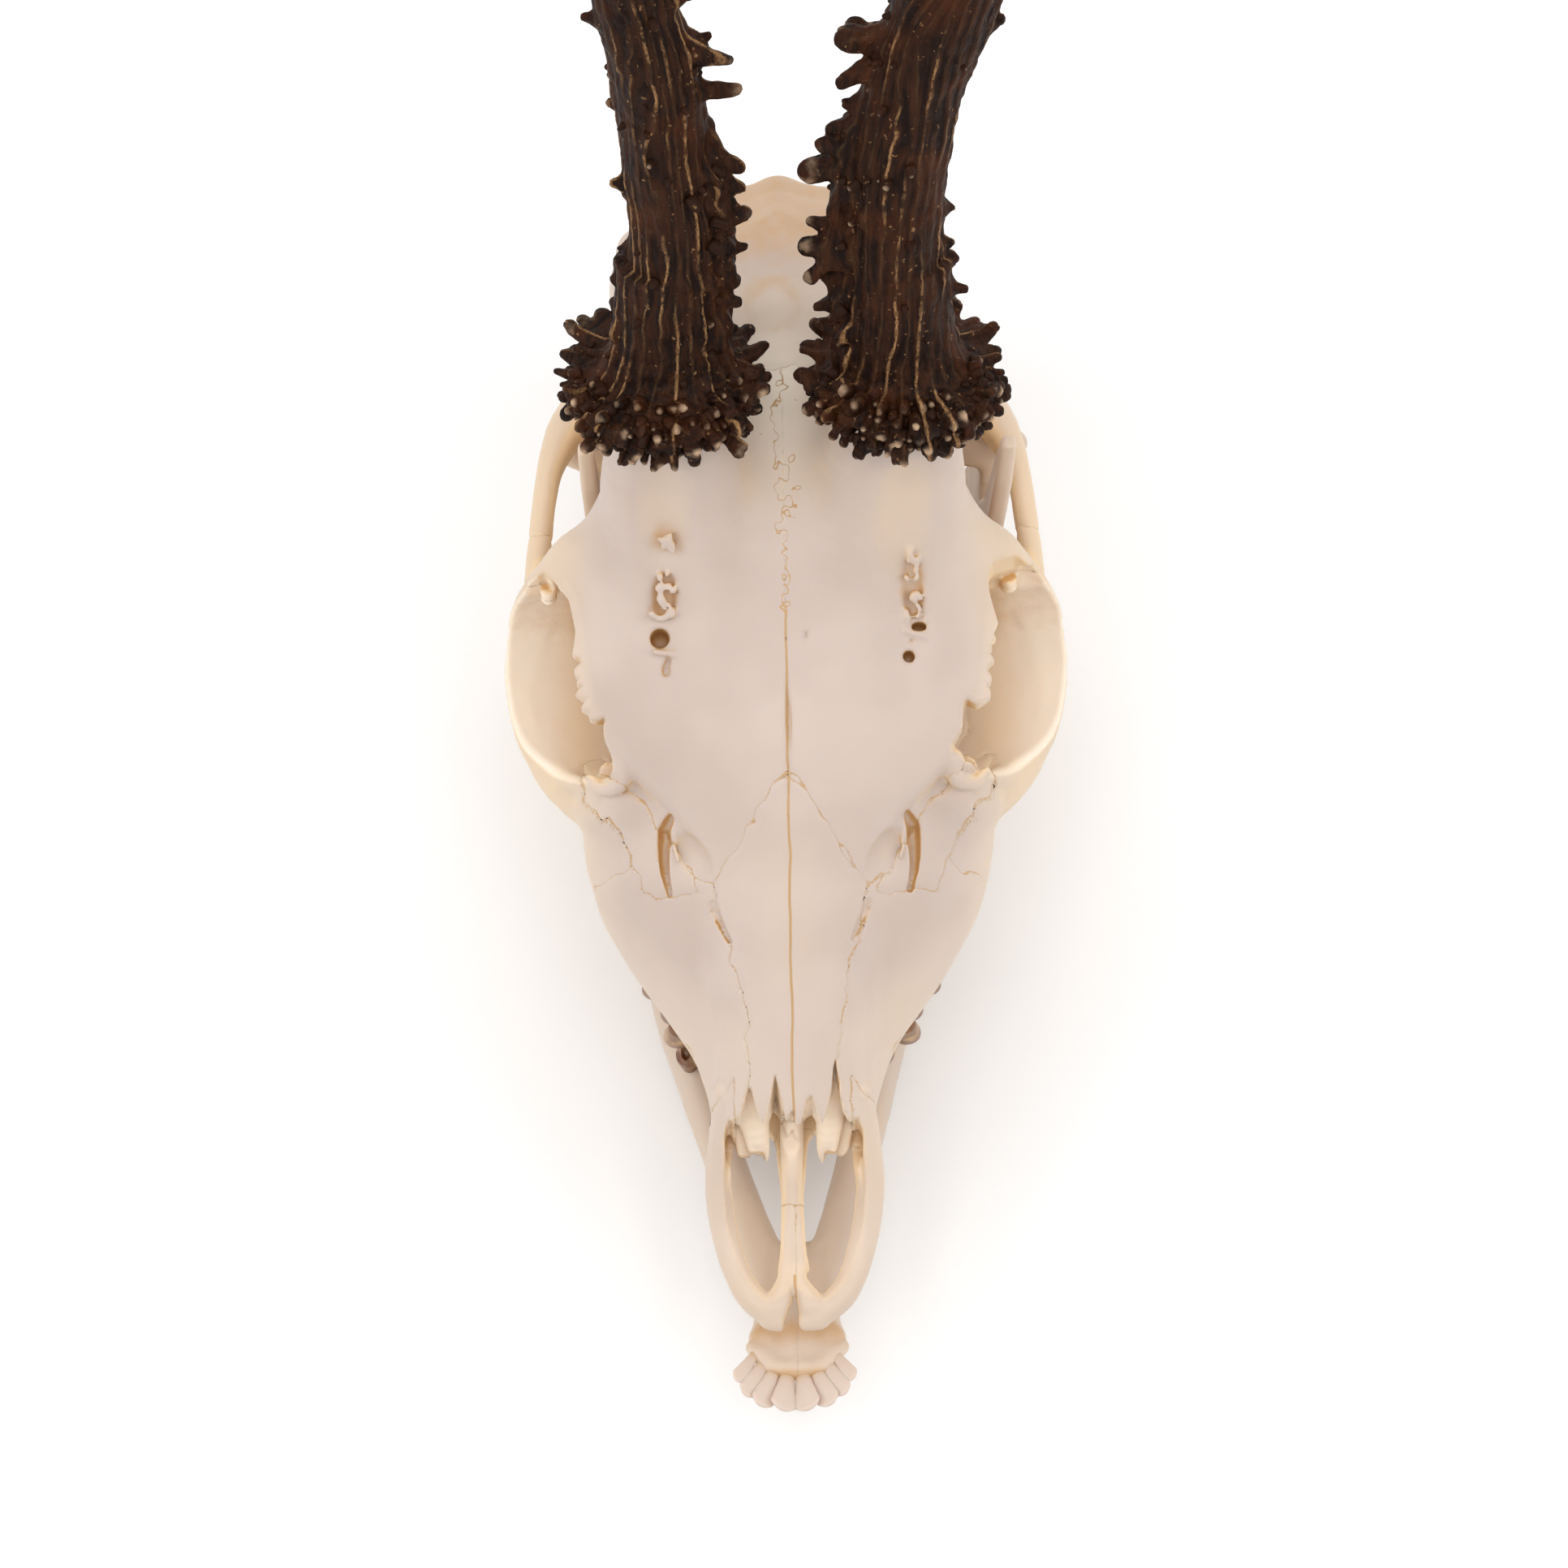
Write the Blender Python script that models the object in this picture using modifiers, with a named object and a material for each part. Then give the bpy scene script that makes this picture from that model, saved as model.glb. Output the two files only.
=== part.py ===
# Skull of a roe buck with its lower jaw and antlers, life size, resting on the lower jaw.
#
# Skull frame, in millimetres: x to the right as seen from the front and above, s backwards
# from the tip of the premaxillae, z up from the plane of the upper tooth sockets.
# The empty at the end turns this frame into its resting pose on the floor.

import math

import bmesh
import bpy
from mathutils import Matrix, Vector

MM = 0.001                      # one millimetre in metres
GAP = 0.3                       # clearance between neighbouring bones
REST_TILT = math.radians(5.2)   # nose-down lean of the skull when it lies on its jaw

# driving dimensions of the skull
SKULL_LENGTH = 192.0            # premaxilla tip to the back of the condyles
BRAINCASE_WIDTH = 59.0
ORBITAL_WIDTH = 92.0            # across the outer rims of the eye sockets
FRONTAL_WIDTH = 69.0            # across the upper rims of the eye sockets
NASION = 82.0                   # s where the nasals meet the frontals
NASAL_TIP = 30.0                # s and height of the front end of the nasals
NASAL_TIP_Z = 24.0
NASAL_DEPTH = 7.5
NOSE_SLOPE = 0.5                # rise of the nasals for each millimetre backwards
BREGMA = 147.0                  # s where the frontals meet the parietals
ORBIT_S = 102.0
JAW_HEIGHT = 43.0               # jaw angle below the upper tooth sockets

# driving dimensions of the antlers
CORONET_S = 139.5
CORONET_Z = 79.5
CORONET_RADIUS = 16.4
ANTLER_LENGTH = 205.0
ANTLER_LEAN = math.radians(33.0)   # backward lean of the beams from the z axis

CORONET_DEPTH = 4.2             # from the middle of the coronet down to its seat on the pedicle
CORONET_PEARLS = 17
TINE_SLAB = 90.0                # side of the square cut that parts a tine from its beam

SIDES = {"left": -1, "right": 1}
SEAM = GAP / 2                  # half the clearance at the middle line
FOOTING = 0.5                   # depth of the small level flats under the jaw

# fineness of the faceted surfaces
SECTION_POINTS = 28
FLAT_ANGLE = math.radians(4.5)  # faces this close to level with each other are joined
SMALLEST_EDGE = 0.004
CRANIUM_TRIANGLES = 3450
JAW_TRIANGLES = 800
ANTLER_TRIANGLES = 960

BONE_COLOUR = "E6D8CC"
BONE_ROUGHNESS = 0.5
BARK_COLOUR = "2E2118"
BARK_ROUGHNESS = 0.6


# ---------------------------------------------------------------- basic shapes

def superellipse(angle, half_width, half_height, power):
    """Point of a rounded section, from a diamond (1) over an ellipse (2) to a box (9)."""
    c = math.cos(angle)
    t = math.sin(angle)
    x = half_width * math.copysign(abs(c) ** (2.0 / power), c)
    z = half_height * math.copysign(abs(t) ** (2.0 / power), t)
    return x, z


def add_loft(heap, stations, upper=2.0, lower=2.0, count=SECTION_POINTS):
    """Closed body through sections across s, each (s, x, half width, top, widest, bottom)."""
    rings = []
    for s, x_mid, half_width, top, widest, bottom in stations:
        ring = []
        for i in range(count):
            angle = 2 * math.pi * i / count
            above = math.sin(angle) >= 0
            height = top - widest if above else widest - bottom
            x, z = superellipse(angle, half_width, height, upper if above else lower)
            ring.append(heap.verts.new((x_mid + x, s, widest + z)))
        rings.append(ring)
    for a, b in zip(rings, rings[1:]):
        for i in range(count):
            j = (i + 1) % count
            heap.faces.new((a[i], a[j], b[j], b[i]))
    heap.faces.new(rings[0][::-1])
    heap.faces.new(rings[-1])


def mirrored(points, side):
    """The same points on the left (-1) or right (1) of the skull."""
    return [(side * point[0], *point[1:]) for point in points]


def add_ball(heap, centre, radii, turn=(0, 0, 0)):
    """Ellipsoid at (x, s, z) with radii along x, s and z, turned by degrees about them."""
    spin = Matrix.Identity(4)
    for axis, angle in zip("XYZ", turn):
        spin = Matrix.Rotation(math.radians(angle), 4, axis) @ spin
    place = Matrix.Translation(centre) @ spin @ Matrix.Diagonal((*radii, 1))
    bmesh.ops.create_uvsphere(heap, u_segments=20, v_segments=12, radius=1, matrix=place)


def add_tube(heap, points, closed=False, flat=None):
    """Round bar along (x, s, z, radius) points, from a curve with a bevel.

    flat squeezes the bar across one axis: (axis index, factor).
    """
    curve = bpy.data.curves.new("bar", "CURVE")
    curve.dimensions = "3D"
    curve.bevel_depth = 1.0
    curve.bevel_resolution = 2
    curve.resolution_u = 4
    curve.use_fill_caps = True
    spline = curve.splines.new("NURBS")
    spline.points.add(len(points) - 1)
    spline.order_u = 3
    spline.use_endpoint_u = not closed
    spline.use_cyclic_u = closed
    for knot, (x, s, z, radius) in zip(spline.points, points):
        knot.co = (x, s, z, 1)
        knot.radius = radius
    bar = bpy.data.objects.new("bar", curve)
    bpy.context.scene.collection.objects.link(bar)
    bpy.context.view_layer.update()
    graph = bpy.context.evaluated_depsgraph_get()
    mesh = bpy.data.meshes.new_from_object(bar.evaluated_get(graph))
    if flat:
        axis, factor = flat
        middle = sum(point[axis] for point in points) / len(points)
        for vertex in mesh.vertices:
            vertex.co[axis] = middle + (vertex.co[axis] - middle) * factor
    first = len(heap.verts)
    heap.from_mesh(mesh)
    heap.verts.ensure_lookup_table()
    bmesh.ops.remove_doubles(heap, verts=heap.verts[first:], dist=0.001)
    bpy.data.objects.remove(bar)
    bpy.data.curves.remove(curve)
    bpy.data.meshes.remove(mesh)


def outline_prism(name, outline, low, high, grow=0.0):
    """Upright prism over an (x, s) outline; low may be a height or a function of s."""
    corners = [Vector(point) for point in outline]
    area = sum(a.x * b.y - b.x * a.y for a, b in zip(corners, corners[1:] + corners[:1]))
    if area < 0:
        corners.reverse()
    grown = []
    for i, corner in enumerate(corners):
        before = (corner - corners[i - 1]).normalized()
        after = (corners[(i + 1) % len(corners)] - corner).normalized()
        normal = Vector((before.y + after.y, -before.x - after.x))
        normal.normalize()
        facing = max(0.35, normal.dot(Vector((before.y, -before.x))))
        grown.append(corner + normal * (grow / facing))
    heap = bmesh.new()
    floor = low if callable(low) else (lambda s: low)
    bottom = [heap.verts.new((p.x, p.y, floor(p.y) - grow)) for p in grown]
    top = [heap.verts.new((p.x, p.y, high + grow)) for p in grown]
    count = len(grown)
    for i in range(count):
        j = (i + 1) % count
        heap.faces.new((bottom[i], bottom[j], top[j], top[i]))
    heap.faces.new(bottom[::-1])
    heap.faces.new(top)
    return solid_from(name, heap, CUTTERS)


def solid_from(name, heap, collection):
    """Object in metres from a heap of closed shapes drawn in millimetres."""
    bmesh.ops.triangulate(heap, faces=[face for face in heap.faces if len(face.verts) > 4])
    bmesh.ops.recalc_face_normals(heap, faces=heap.faces)
    bmesh.ops.scale(heap, vec=(MM, MM, MM), verts=heap.verts)
    mesh = bpy.data.meshes.new(name)
    heap.to_mesh(mesh)
    heap.free()
    solid = bpy.data.objects.new(name, mesh)
    collection.objects.link(solid)
    return solid


# ---------------------------------------------------------------- modifiers, applied in turn

def settle(solid):
    """Replaces the object's mesh by the result of its modifiers."""
    bpy.context.view_layer.update()
    graph = bpy.context.evaluated_depsgraph_get()
    mesh = bpy.data.meshes.new_from_object(solid.evaluated_get(graph))
    solid.modifiers.clear()
    old = solid.data
    solid.data = mesh
    bpy.data.meshes.remove(old)


def fuse(solid, voxel, smoothing=0):
    """Joins the overlapping shapes of one object into a single skin and softens it."""
    remesh = solid.modifiers.new("fuse", "REMESH")
    remesh.mode = "VOXEL"
    remesh.voxel_size = voxel * MM
    if smoothing:
        smooth = solid.modifiers.new("soften", "SMOOTH")
        smooth.factor = 0.5
        smooth.iterations = smoothing
    settle(solid)


def thin_out(solid, triangles):
    """Reduces the mesh to about this many triangles."""
    now = sum(len(face.vertices) - 2 for face in solid.data.polygons)
    decimate = solid.modifiers.new("thin_out", "DECIMATE")
    decimate.ratio = min(1.0, triangles / now)
    decimate.use_collapse_triangulate = True
    settle(solid)


def cut(solid, cutter, operation="DIFFERENCE"):
    boolean = solid.modifiers.new("cut", "BOOLEAN")
    boolean.operation = operation
    boolean.object = cutter
    boolean.solver = "EXACT"
    settle(solid)


def keep_largest(solid):
    """Drops crumbs that a cut leaves beside the main body."""
    heap = bmesh.new()
    heap.from_mesh(solid.data)
    bmesh.ops.remove_doubles(heap, verts=heap.verts, dist=SMALLEST_EDGE * MM)
    bmesh.ops.dissolve_degenerate(heap, edges=heap.edges, dist=SMALLEST_EDGE * MM)
    unseen = set(heap.verts)
    bodies = []
    while unseen:
        body = [unseen.pop()]
        for vertex in body:
            for edge in vertex.link_edges:
                other = edge.other_vert(vertex)
                if other in unseen:
                    unseen.remove(other)
                    body.append(other)
        bodies.append(body)
    bodies.sort(key=len)
    for body in bodies[:-1]:
        bmesh.ops.delete(heap, geom=body, context="VERTS")
    bmesh.ops.dissolve_limit(heap, angle_limit=FLAT_ANGLE, verts=heap.verts, edges=heap.edges)
    bmesh.ops.triangulate(heap, faces=heap.faces)
    heap.to_mesh(solid.data)
    heap.free()


def copy_of(solid, name):
    twin = solid.copy()
    twin.data = solid.data.copy()
    twin.name = name
    SKULL.objects.link(twin)
    return twin


def part_off(whole, name, outline, low, high):
    """Takes the bone inside a prism out of the whole, leaving a thin gap round it."""
    bone = copy_of(whole, name)
    cut(bone, outline_prism(f"{name}_in", outline, low, high), "INTERSECT")
    keep_largest(bone)
    cut(whole, outline_prism(f"{name}_out", outline, low, high, GAP))
    keep_largest(whole)
    return bone


# ---------------------------------------------------------------- cranium

NOSE = [        # tube of the nasal cavity: s, x, half width, top, widest, bottom
    (9, 0, 11.2, 7, 3.5, 0.5),
    (16, 0, 12.6, 11, 5, 0.5),
    (24, 0, 13.2, 18, 8, 0.5),
    (31, 0, 12.8, NASAL_TIP_Z, 11, 0.5),
    (45, 0, 13.4, 31.0, 15, 0.5),
    (60, 0, 15.4, 39.0, 19, 0.5),
    (72, 0, 17.6, 45.0, 23, 2),
    (84, 0, 20.0, 50.4, 27, 4),
    (96, 0, 21.5, 54.6, 30, 6),
    (112, 0, 21.5, 59.0, 33, 10),
    (124, 0, 21.0, 61.0, 35, 12),
]
CHEEK = [       # upper jaw with the facial swelling in front of the eye
    (30, 0, 13.0, 14, 6, 0.5),
    (38, 0, 14.2, 20, 7, 0),
    (45, 0, 16.4, 23, 8, 0),
    (50, 0, 19.7, 25, 9, 0),
    (56, 0, 24.3, 29, 10, 0),
    (61.5, 0, 28.0, 33, 11, 0),
    (68.5, 0, 32.0, 38, 14, 0),
    (75.5, 0, 33.8, 42, 16, 0),
    (82.5, 0, 34.6, 45, 19, 0),
    (90, 0, 34.5, 43, 19, 1),
    (98, 0, 32.5, 30, 12, 1),
    (107, 0, 29.0, 22, 9, 1),
    (111, 0, 24.0, 16, 8, 2),
]
FOREHEAD = [    # shield of the frontal bones over the eyes
    (70, 0, 13.0, 43.5, 38, 33),
    (78, 0, 18.5, 47.5, 39, 34),
    (84, 0, 25.0, 50.2, 40, 35),
    (88, 0, 29.5, 52.0, 41.5, 36),
    (93, 0, FRONTAL_WIDTH * 0.467, 53.8, 44, 38),
    (98, 0, FRONTAL_WIDTH * 0.5, 55.4, 46, 40),
    (106, 0, FRONTAL_WIDTH * 0.502, 58.0, 48, 42),
    (114, 0, FRONTAL_WIDTH * 0.504, 60.5, 49.5, 42),
    (121, 0, FRONTAL_WIDTH * 0.496, 62.4, 50.5, 40),
    (127, 0, 30.5, 63.8, 51.0, 38),
    (133, 0, 28.4, 64.9, 49.0, 32),
    (142, 0, 28.8, 66.0, 44.0, 25),
    (150, 0, 29.2, 66.2, 41.0, 20),
]
BRAINCASE = [
    (118, 0, 18.0, 58.0, 34, 16),
    (126, 0, 23.5, 62.0, 35, 12),
    (134, 0, 27.0, 64.5, 36, 9),
    (142, 0, 28.8, 66.0, 37, 8),
    (150, 0, BRAINCASE_WIDTH / 2, 66.2, 37, 8),
    (158, 0, 29.4, 65.4, 36, 8),
    (166, 0, 28.6, 63.0, 34, 8),
    (174, 0, 27.0, 59.0, 31, 8),
    (180, 0, 25.0, 53.5, 28, 9),
    (184.5, 0, 22.0, 47.0, 25, 10),
    (188, 0, 17.0, 39.0, 22, 12),
]

ORBIT_RIM = [   # ring round the left eye socket, from its front notch over the top: x, s, z, r
    (28.8, 86.8, 40.0, 2.4),
    (31.0, 91.0, 44.5, 2.4),
    (33.0, 97.0, 47.4, 2.4),
    (33.2, 105.5, 49.0, 2.4),
    (33.6, 113.0, 49.2, 2.8),
    (37.4, 117.0, 46.2, 3.2),
    (41.2, 117.4, 40.0, 3.2),
    (ORBITAL_WIDTH * 0.467, 116.2, 33.0, 3.0),
    (ORBITAL_WIDTH * 0.481, 112.0, 27.0, 2.8),
    (ORBITAL_WIDTH * 0.483, 104.0, 23.2, 3.0),
    (ORBITAL_WIDTH * 0.472, 96.0, 22.6, 3.2),
    (39.6, 90.0, 25.0, 3.2),
    (34.6, 86.6, 30.0, 2.8),
    (30.4, 85.6, 35.0, 2.4),
]
ARCH = [        # zygomatic arch from the cheek to the root at the jaw joint
    (37.0, 86.0, 20.0, 2.8),
    (ORBITAL_WIDTH * 0.461, 94.0, 17.5, 3.0),
    (ORBITAL_WIDTH * 0.476, 104.0, 18.0, 3.0),
    (ORBITAL_WIDTH * 0.467, 113.0, 22.0, 2.8),
    (41.6, 124.0, 24.4, 2.1),
    (40.8, 134.0, 25.0, 1.9),
    (39.4, 144.0, 24.0, 2.1),
    (36.0, 152.0, 23.0, 3.2),
    (30.0, 158.0, 23.0, 4.0),
]
BACK_BAR = [    # bar behind the eye, from the frontal down to the arch
    (30.0, 121.0, 51.5, 4.2),
    (35.0, 119.6, 49.0, 3.6),
    (39.6, 118.4, 43.5, 3.2),
    (42.2, 117.4, 36.0, 3.0),
    (42.8, 116.4, 28.0, 3.0),
]
MUZZLE_BAR = [  # side of the premaxilla, from the front up to the tip beside the nasals
    (3.2, 1.8, 2.2, 2.2),
    (7.2, 4.6, 2.8, 2.4),
    (10.0, 9.5, 3.4, 2.2),
    (12.0, 17.0, 4.6, 2.2),
    (12.7, 24.0, 8.0, 2.2),
    (12.2, 30.0, 13.5, 2.2),
    (11.4, 36.0, 18.5, 2.0),
]
PALATE_BAR = [  # inner process of the premaxilla beside the middle line
    (1.6, 2.5, 3.0, 2.2),
    (1.7, 12.0, 3.0, 1.7),
    (1.5, 20.0, 3.2, 1.5),
    (1.2, 27.0, 3.4, 1.6),
]
PEDICLE = [     # stump of the frontal that carries an antler
    (16.0, 122.0, 52.0, 14.0),
    (17.2, 128.0, 61.0, 12.6),
    (18.4, 134.0, 70.0, 10.4),
    (19.4, 139.2, 79.0, 9.6),
]
KNOBS = [       # rounded masses: centre, radii, lean about s in degrees
    ((32, 104, 18.5), (13.5, 20, 6.0), -10),                    # floor of the eye socket
    ((15, 160, 4), (6, 10, 6.5), 0),                            # ear capsule
    ((9.5, SKULL_LENGTH - 1, 11), (5.6, 6.0, 7.5), 20),         # condyle of the neck joint
    ((23, 176, 22), (6, 8, 14), 0),                             # mastoid
]
EAR_SPUR = [(18, 184, 14, 5), (19, 183, 4, 3.4), (18, 180, -8, 1.8)]
PTERYGOID = [(7, 112, 12, 3), (7, 122, 8, 2.4), (8, 132, 12, 3)]
EAR_TUBE = [(24, 168, 14, 4), (30, 166, 18, 3.6)]
NECK_CREST = [(0, 183.5, 48.5, 3.5), (14, 183.5, 43, 3.2), (24, 180, 32, 3)]
SKULL_BASE = [(0, 118, 14, 8), (0, 150, 11, 9), (0, 190, 10, 7.5)]
BACK_RIDGE = [(0, 174, 57, 3), (0, 183.5, 48.5, 4), (0, 187, 36, 3)]
SEPTUM = [      # thin wall at the middle of the nasal cavity: s, x, half width, top, widest, bottom
    (20, 0, 1.5, 6, 3.5, 1.5),
    (34, 0, 1.8, 12, 4, 1.5),
    (52, 0, 1.8, 20, 4, 1.5),
]
# upper cheek teeth: s, x, half length, half width
UPPER_TEETH = [
    (54.0, 17.6, 4.2, 4.2),
    (62.5, 20.6, 4.3, 4.8),
    (71.0, 22.8, 4.4, 5.4),
    (80.5, 24.2, 5.2, 6.2),
    (91.5, 25.0, 5.6, 6.5),
    (102.5, 24.6, 5.6, 6.2),
]
UPPER_CROWN = 7.6               # crown height below the tooth sockets
SOCKET_DEPTH = 1.5


def build_cranium():
    heap = bmesh.new()
    add_loft(heap, NOSE, upper=2.2, lower=2.6)
    add_loft(heap, CHEEK, upper=1.9, lower=3.6)
    add_loft(heap, FOREHEAD, upper=2.0, lower=2.6)
    add_loft(heap, BRAINCASE, upper=2.0, lower=2.2)
    for side in SIDES.values():
        for (x, s, z), radii, lean in KNOBS:
            add_ball(heap, (side * x, s, z), radii, (0, side * lean, 0))
        for bar in (EAR_SPUR, PTERYGOID, EAR_TUBE, NECK_CREST):
            add_tube(heap, mirrored(bar, side))
    add_tube(heap, SKULL_BASE, flat=(2, 0.6))
    add_tube(heap, BACK_RIDGE)
    cranium = solid_from("cranium", heap, SKULL)
    fuse(cranium, 1.3)
    hollow_cranium(cranium)

    heap = bmesh.new()
    heap.from_mesh(cranium.data)
    bmesh.ops.scale(heap, vec=(1 / MM, 1 / MM, 1 / MM), verts=heap.verts)
    lower_arch = [(x - 0.2, s, z - 3.4, r * 0.9) for x, s, z, r in ARCH[1:-1]]
    for side in SIDES.values():
        add_tube(heap, mirrored(ORBIT_RIM, side), closed=True)
        for bar in (ARCH, lower_arch, BACK_BAR, MUZZLE_BAR, PALATE_BAR, PEDICLE):
            add_tube(heap, mirrored(bar, side))
        for s, x, half_length, half_width in UPPER_TEETH:
            add_crown(heap, (side * x, s, SOCKET_DEPTH - UPPER_CROWN / 2),
                      (half_width, half_length, UPPER_CROWN / 2 + SOCKET_DEPTH))
    add_loft(heap, SEPTUM, upper=4, lower=4)
    bmesh.ops.scale(heap, vec=(MM, MM, MM), verts=heap.verts)
    heap.to_mesh(cranium.data)
    heap.free()
    fuse(cranium, 0.95, smoothing=4)
    for label, side in SIDES.items():
        along = beam_axis(side)[0]
        seat = beam_point(label, 0)[0] - along * (CORONET_DEPTH + GAP)
        cut(cranium, slab(f"pedicle_{label}_top", seat, along, 27, 20))
    keep_largest(cranium)
    return cranium


def add_crown(heap, centre, half_sizes, power=4.0):
    """Cheek tooth as a rounded block with (x, s, z) centre and half sizes."""
    x, s, z = centre
    half_width, half_length, half_height = half_sizes
    stations = []
    for step in (-1.0, -0.8, -0.4, 0.4, 0.8, 1.0):
        fill = max(0.35, (1 - abs(step) ** power) ** (1 / power))
        stations.append((s + step * half_length, x, half_width * fill, z + half_height * fill, z,
                         z - half_height * fill))
    add_loft(heap, stations, upper=power, lower=power, count=16)


# hollows of the cranium; the eye socket's axis leans outwards and down
EYE_SOCKET = (38.0, ORBIT_S, 36.5)
EYE_SOCKET_RADII = (21.0, 14.8, 14.6)
EYE_SOCKET_LEAN = 16
NASAL_MOUTH = [         # open front of the nasal cavity: s, x, half width, top, widest, bottom
    (2, 0, 8.6, 40, 6, 4.4),
    (10, 0, 9.4, 40, 7, 4.4),
    (24, 0, 10.4, 40, 9, 4.6),
    (29, 0, 10.4, 40, 10, 4.6),
]
NASAL_CAVITY = [        # its continuation under the nasal bones
    (26, 0, 10.0, 20.5, 11, 4.6),
    (34, 0, 9.6, 22.0, 12, 4.6),
    (46, 0, 8.6, 25.0, 14, 6),
    (58, 0, 6.0, 26.0, 17, 9),
]
PALATINE_SLOT = [(6.0, 8.5, 2, 1.6), (6.4, 14, 2, 3.0), (6.8, 22, 2, 3.6), (6.4, 30, 2, 3.0)]
SLOT_STRETCH = 3.0      # slots are this much taller than wide
SPINAL_OPENING = [(0, 202, 20, 7.5), (0, 182, 20, 6.5)]
REAR_NOSTRIL = [(0, 126, -2, 6.0), (0, 112, 3, 6.0), (0, 103, 4, 4.0)]
PALATE_VAULT = [
    (42, 0, 7.0, 2.2, 0, -4),
    (60, 0, 11, 3.5, 0, -4),
    (80, 0, 14, 4.5, 0, -4),
    (100, 0, 15.5, 4.5, 0, -4),
    (108, 0, 15, 3, 0, -4),
]


def hollow_cranium(cranium):
    heap = bmesh.new()
    x, s, z = EYE_SOCKET
    for side in SIDES.values():
        add_ball(heap, (side * x, s, z), EYE_SOCKET_RADII, (0, -side * EYE_SOCKET_LEAN, 0))
    cut(cranium, solid_from("eye_sockets", heap, CUTTERS))

    heap = bmesh.new()
    add_loft(heap, NASAL_MOUTH, upper=5, lower=3.5)
    add_loft(heap, NASAL_CAVITY, upper=2.6, lower=2.6)
    nasal_cavity = solid_from("nasal_cavity", heap, CUTTERS)
    fuse(nasal_cavity, 0.9)
    cut(cranium, nasal_cavity)

    heap = bmesh.new()
    for side in SIDES.values():
        add_tube(heap, mirrored(PALATINE_SLOT, side))
    slots = solid_from("palatine_slots", heap, CUTTERS)
    middle = PALATINE_SLOT[0][2] * MM
    for vertex in slots.data.vertices:
        vertex.co.z = middle + (vertex.co.z - middle) * SLOT_STRETCH
    cut(cranium, slots)

    for name, points in (("spinal_opening", SPINAL_OPENING), ("rear_nostril", REAR_NOSTRIL)):
        heap = bmesh.new()
        add_tube(heap, points)
        cut(cranium, solid_from(name, heap, CUTTERS))
    heap = bmesh.new()
    add_loft(heap, PALATE_VAULT, upper=2.4, lower=4)
    cut(cranium, solid_from("palate_vault", heap, CUTTERS))


# sutures seen from above, as (x, s) outlines of the right-hand bones, with their heights
NASAL = [(SEAM, NASION), (10.7, 67.4), (12.6, 62.5), (9.8, 57), (7.6, 46), (7.2, 35), (7.2, 22),
         (SEAM, 22)]
FRONTAL = [(SEAM, BREGMA), (16, 144), (24, 139), (32, 133), (52, 128), (52, 90), (29.5, 85.5),
           (22, 79), (17.5, 72), (12.9, 66.2), (10.9, 67.6), (SEAM, NASION + GAP)]
LACRIMAL = [(14, 66.0), (17.5, 72.5), (22, 79.5), (28, 85.5), (29, 92), (34.2, 92), (33.6, 83),
            (27.5, 77), (24, 68)]
CHEEKBONE = [(26.5, 72), (24.0, 82), (29.0, 92), (31.0, 104), (36, 112), (36, 132), (52, 129),
             (52, 72)]
MUZZLE = [(SEAM, -5), (SEAM, 20), (4.2, 20), (5.0, 27.5), (9.6, 27.5), (9.6, 37.5), (13.4, 34),
          (15.5, 26), (20, 24), (20, -5)]
VOMER = [(-3.2, 20 + GAP), (3.2, 20 + GAP), (2.6, 32), (-2.6, 32)]
UPPER_JAW = [(SEAM, 18), (SEAM, 106), (14, 110), (30, 113), (50, 113), (50, 18)]


def nasal_underside(s):
    """Height of the underside of the nasal bones, level with the slope of the nose."""
    return NASAL_TIP_Z - NASAL_DEPTH + (s - NASAL_TIP) * NOSE_SLOPE


def divide_cranium(cranium):
    """Parts the finished cranium along its sutures, from the roof downwards."""
    in_pairs = [
        ("nasal", NASAL, nasal_underside, 90),
        ("frontal", FRONTAL, 41.5, 100),
        ("lacrimal", LACRIMAL, 21, 60),
        ("zygomatic", CHEEKBONE, 13.5, 80),
        ("premaxilla", MUZZLE, -5, 40),
    ]
    bones = []
    for name, outline, low, high in in_pairs:
        for label, side in SIDES.items():
            bones.append(part_off(cranium, f"{name}_{label}", mirrored(outline, side), low, high))
    bones.append(part_off(cranium, "vomer", VOMER, -5, 22))
    for label, side in SIDES.items():
        bones.append(part_off(cranium, f"maxilla_{label}", mirrored(UPPER_JAW, side), -20, 60))
    cranium.name = "braincase"
    bones.append(cranium)
    return bones


# ---------------------------------------------------------------- lower jaw

JAW_BODY = [    # right half: s, x, half thickness, top, widest, bottom
    (-5, 3.7, 3.5, -6.0, -8.6, -11.0),
    (2, 4.4, 4.2, -7.6, -12.0, -16.0),
    (12, 5.4, 4.6, -10.0, -15.2, -20.2),
    (22, 8.0, 3.8, -13.4, -18.5, -23.6),
    (33, 11.5, 3.6, -16.4, -21.5, -26.6),
    (45, 15.0, 3.8, -17.4, -23.5, -29.8),
    (55, 17.8, 4.2, -17.2, -25.0, -32.4),
    (65, 19.6, 4.5, -17.0, -26.0, -34.4),
    (78, 21.6, 4.6, -17.0, -27.0, -36.2),
    (92, 24.0, 4.7, -17.0, -28.0, -38.2),
    (106, 26.4, 4.4, -16.0, -28.5, -39.6),
    (118, 28.4, 3.4, -12.0, -28.0, -40.2),
    (128, 30.0, 2.4, -8.0, -28.0, -40.6),
]
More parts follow.
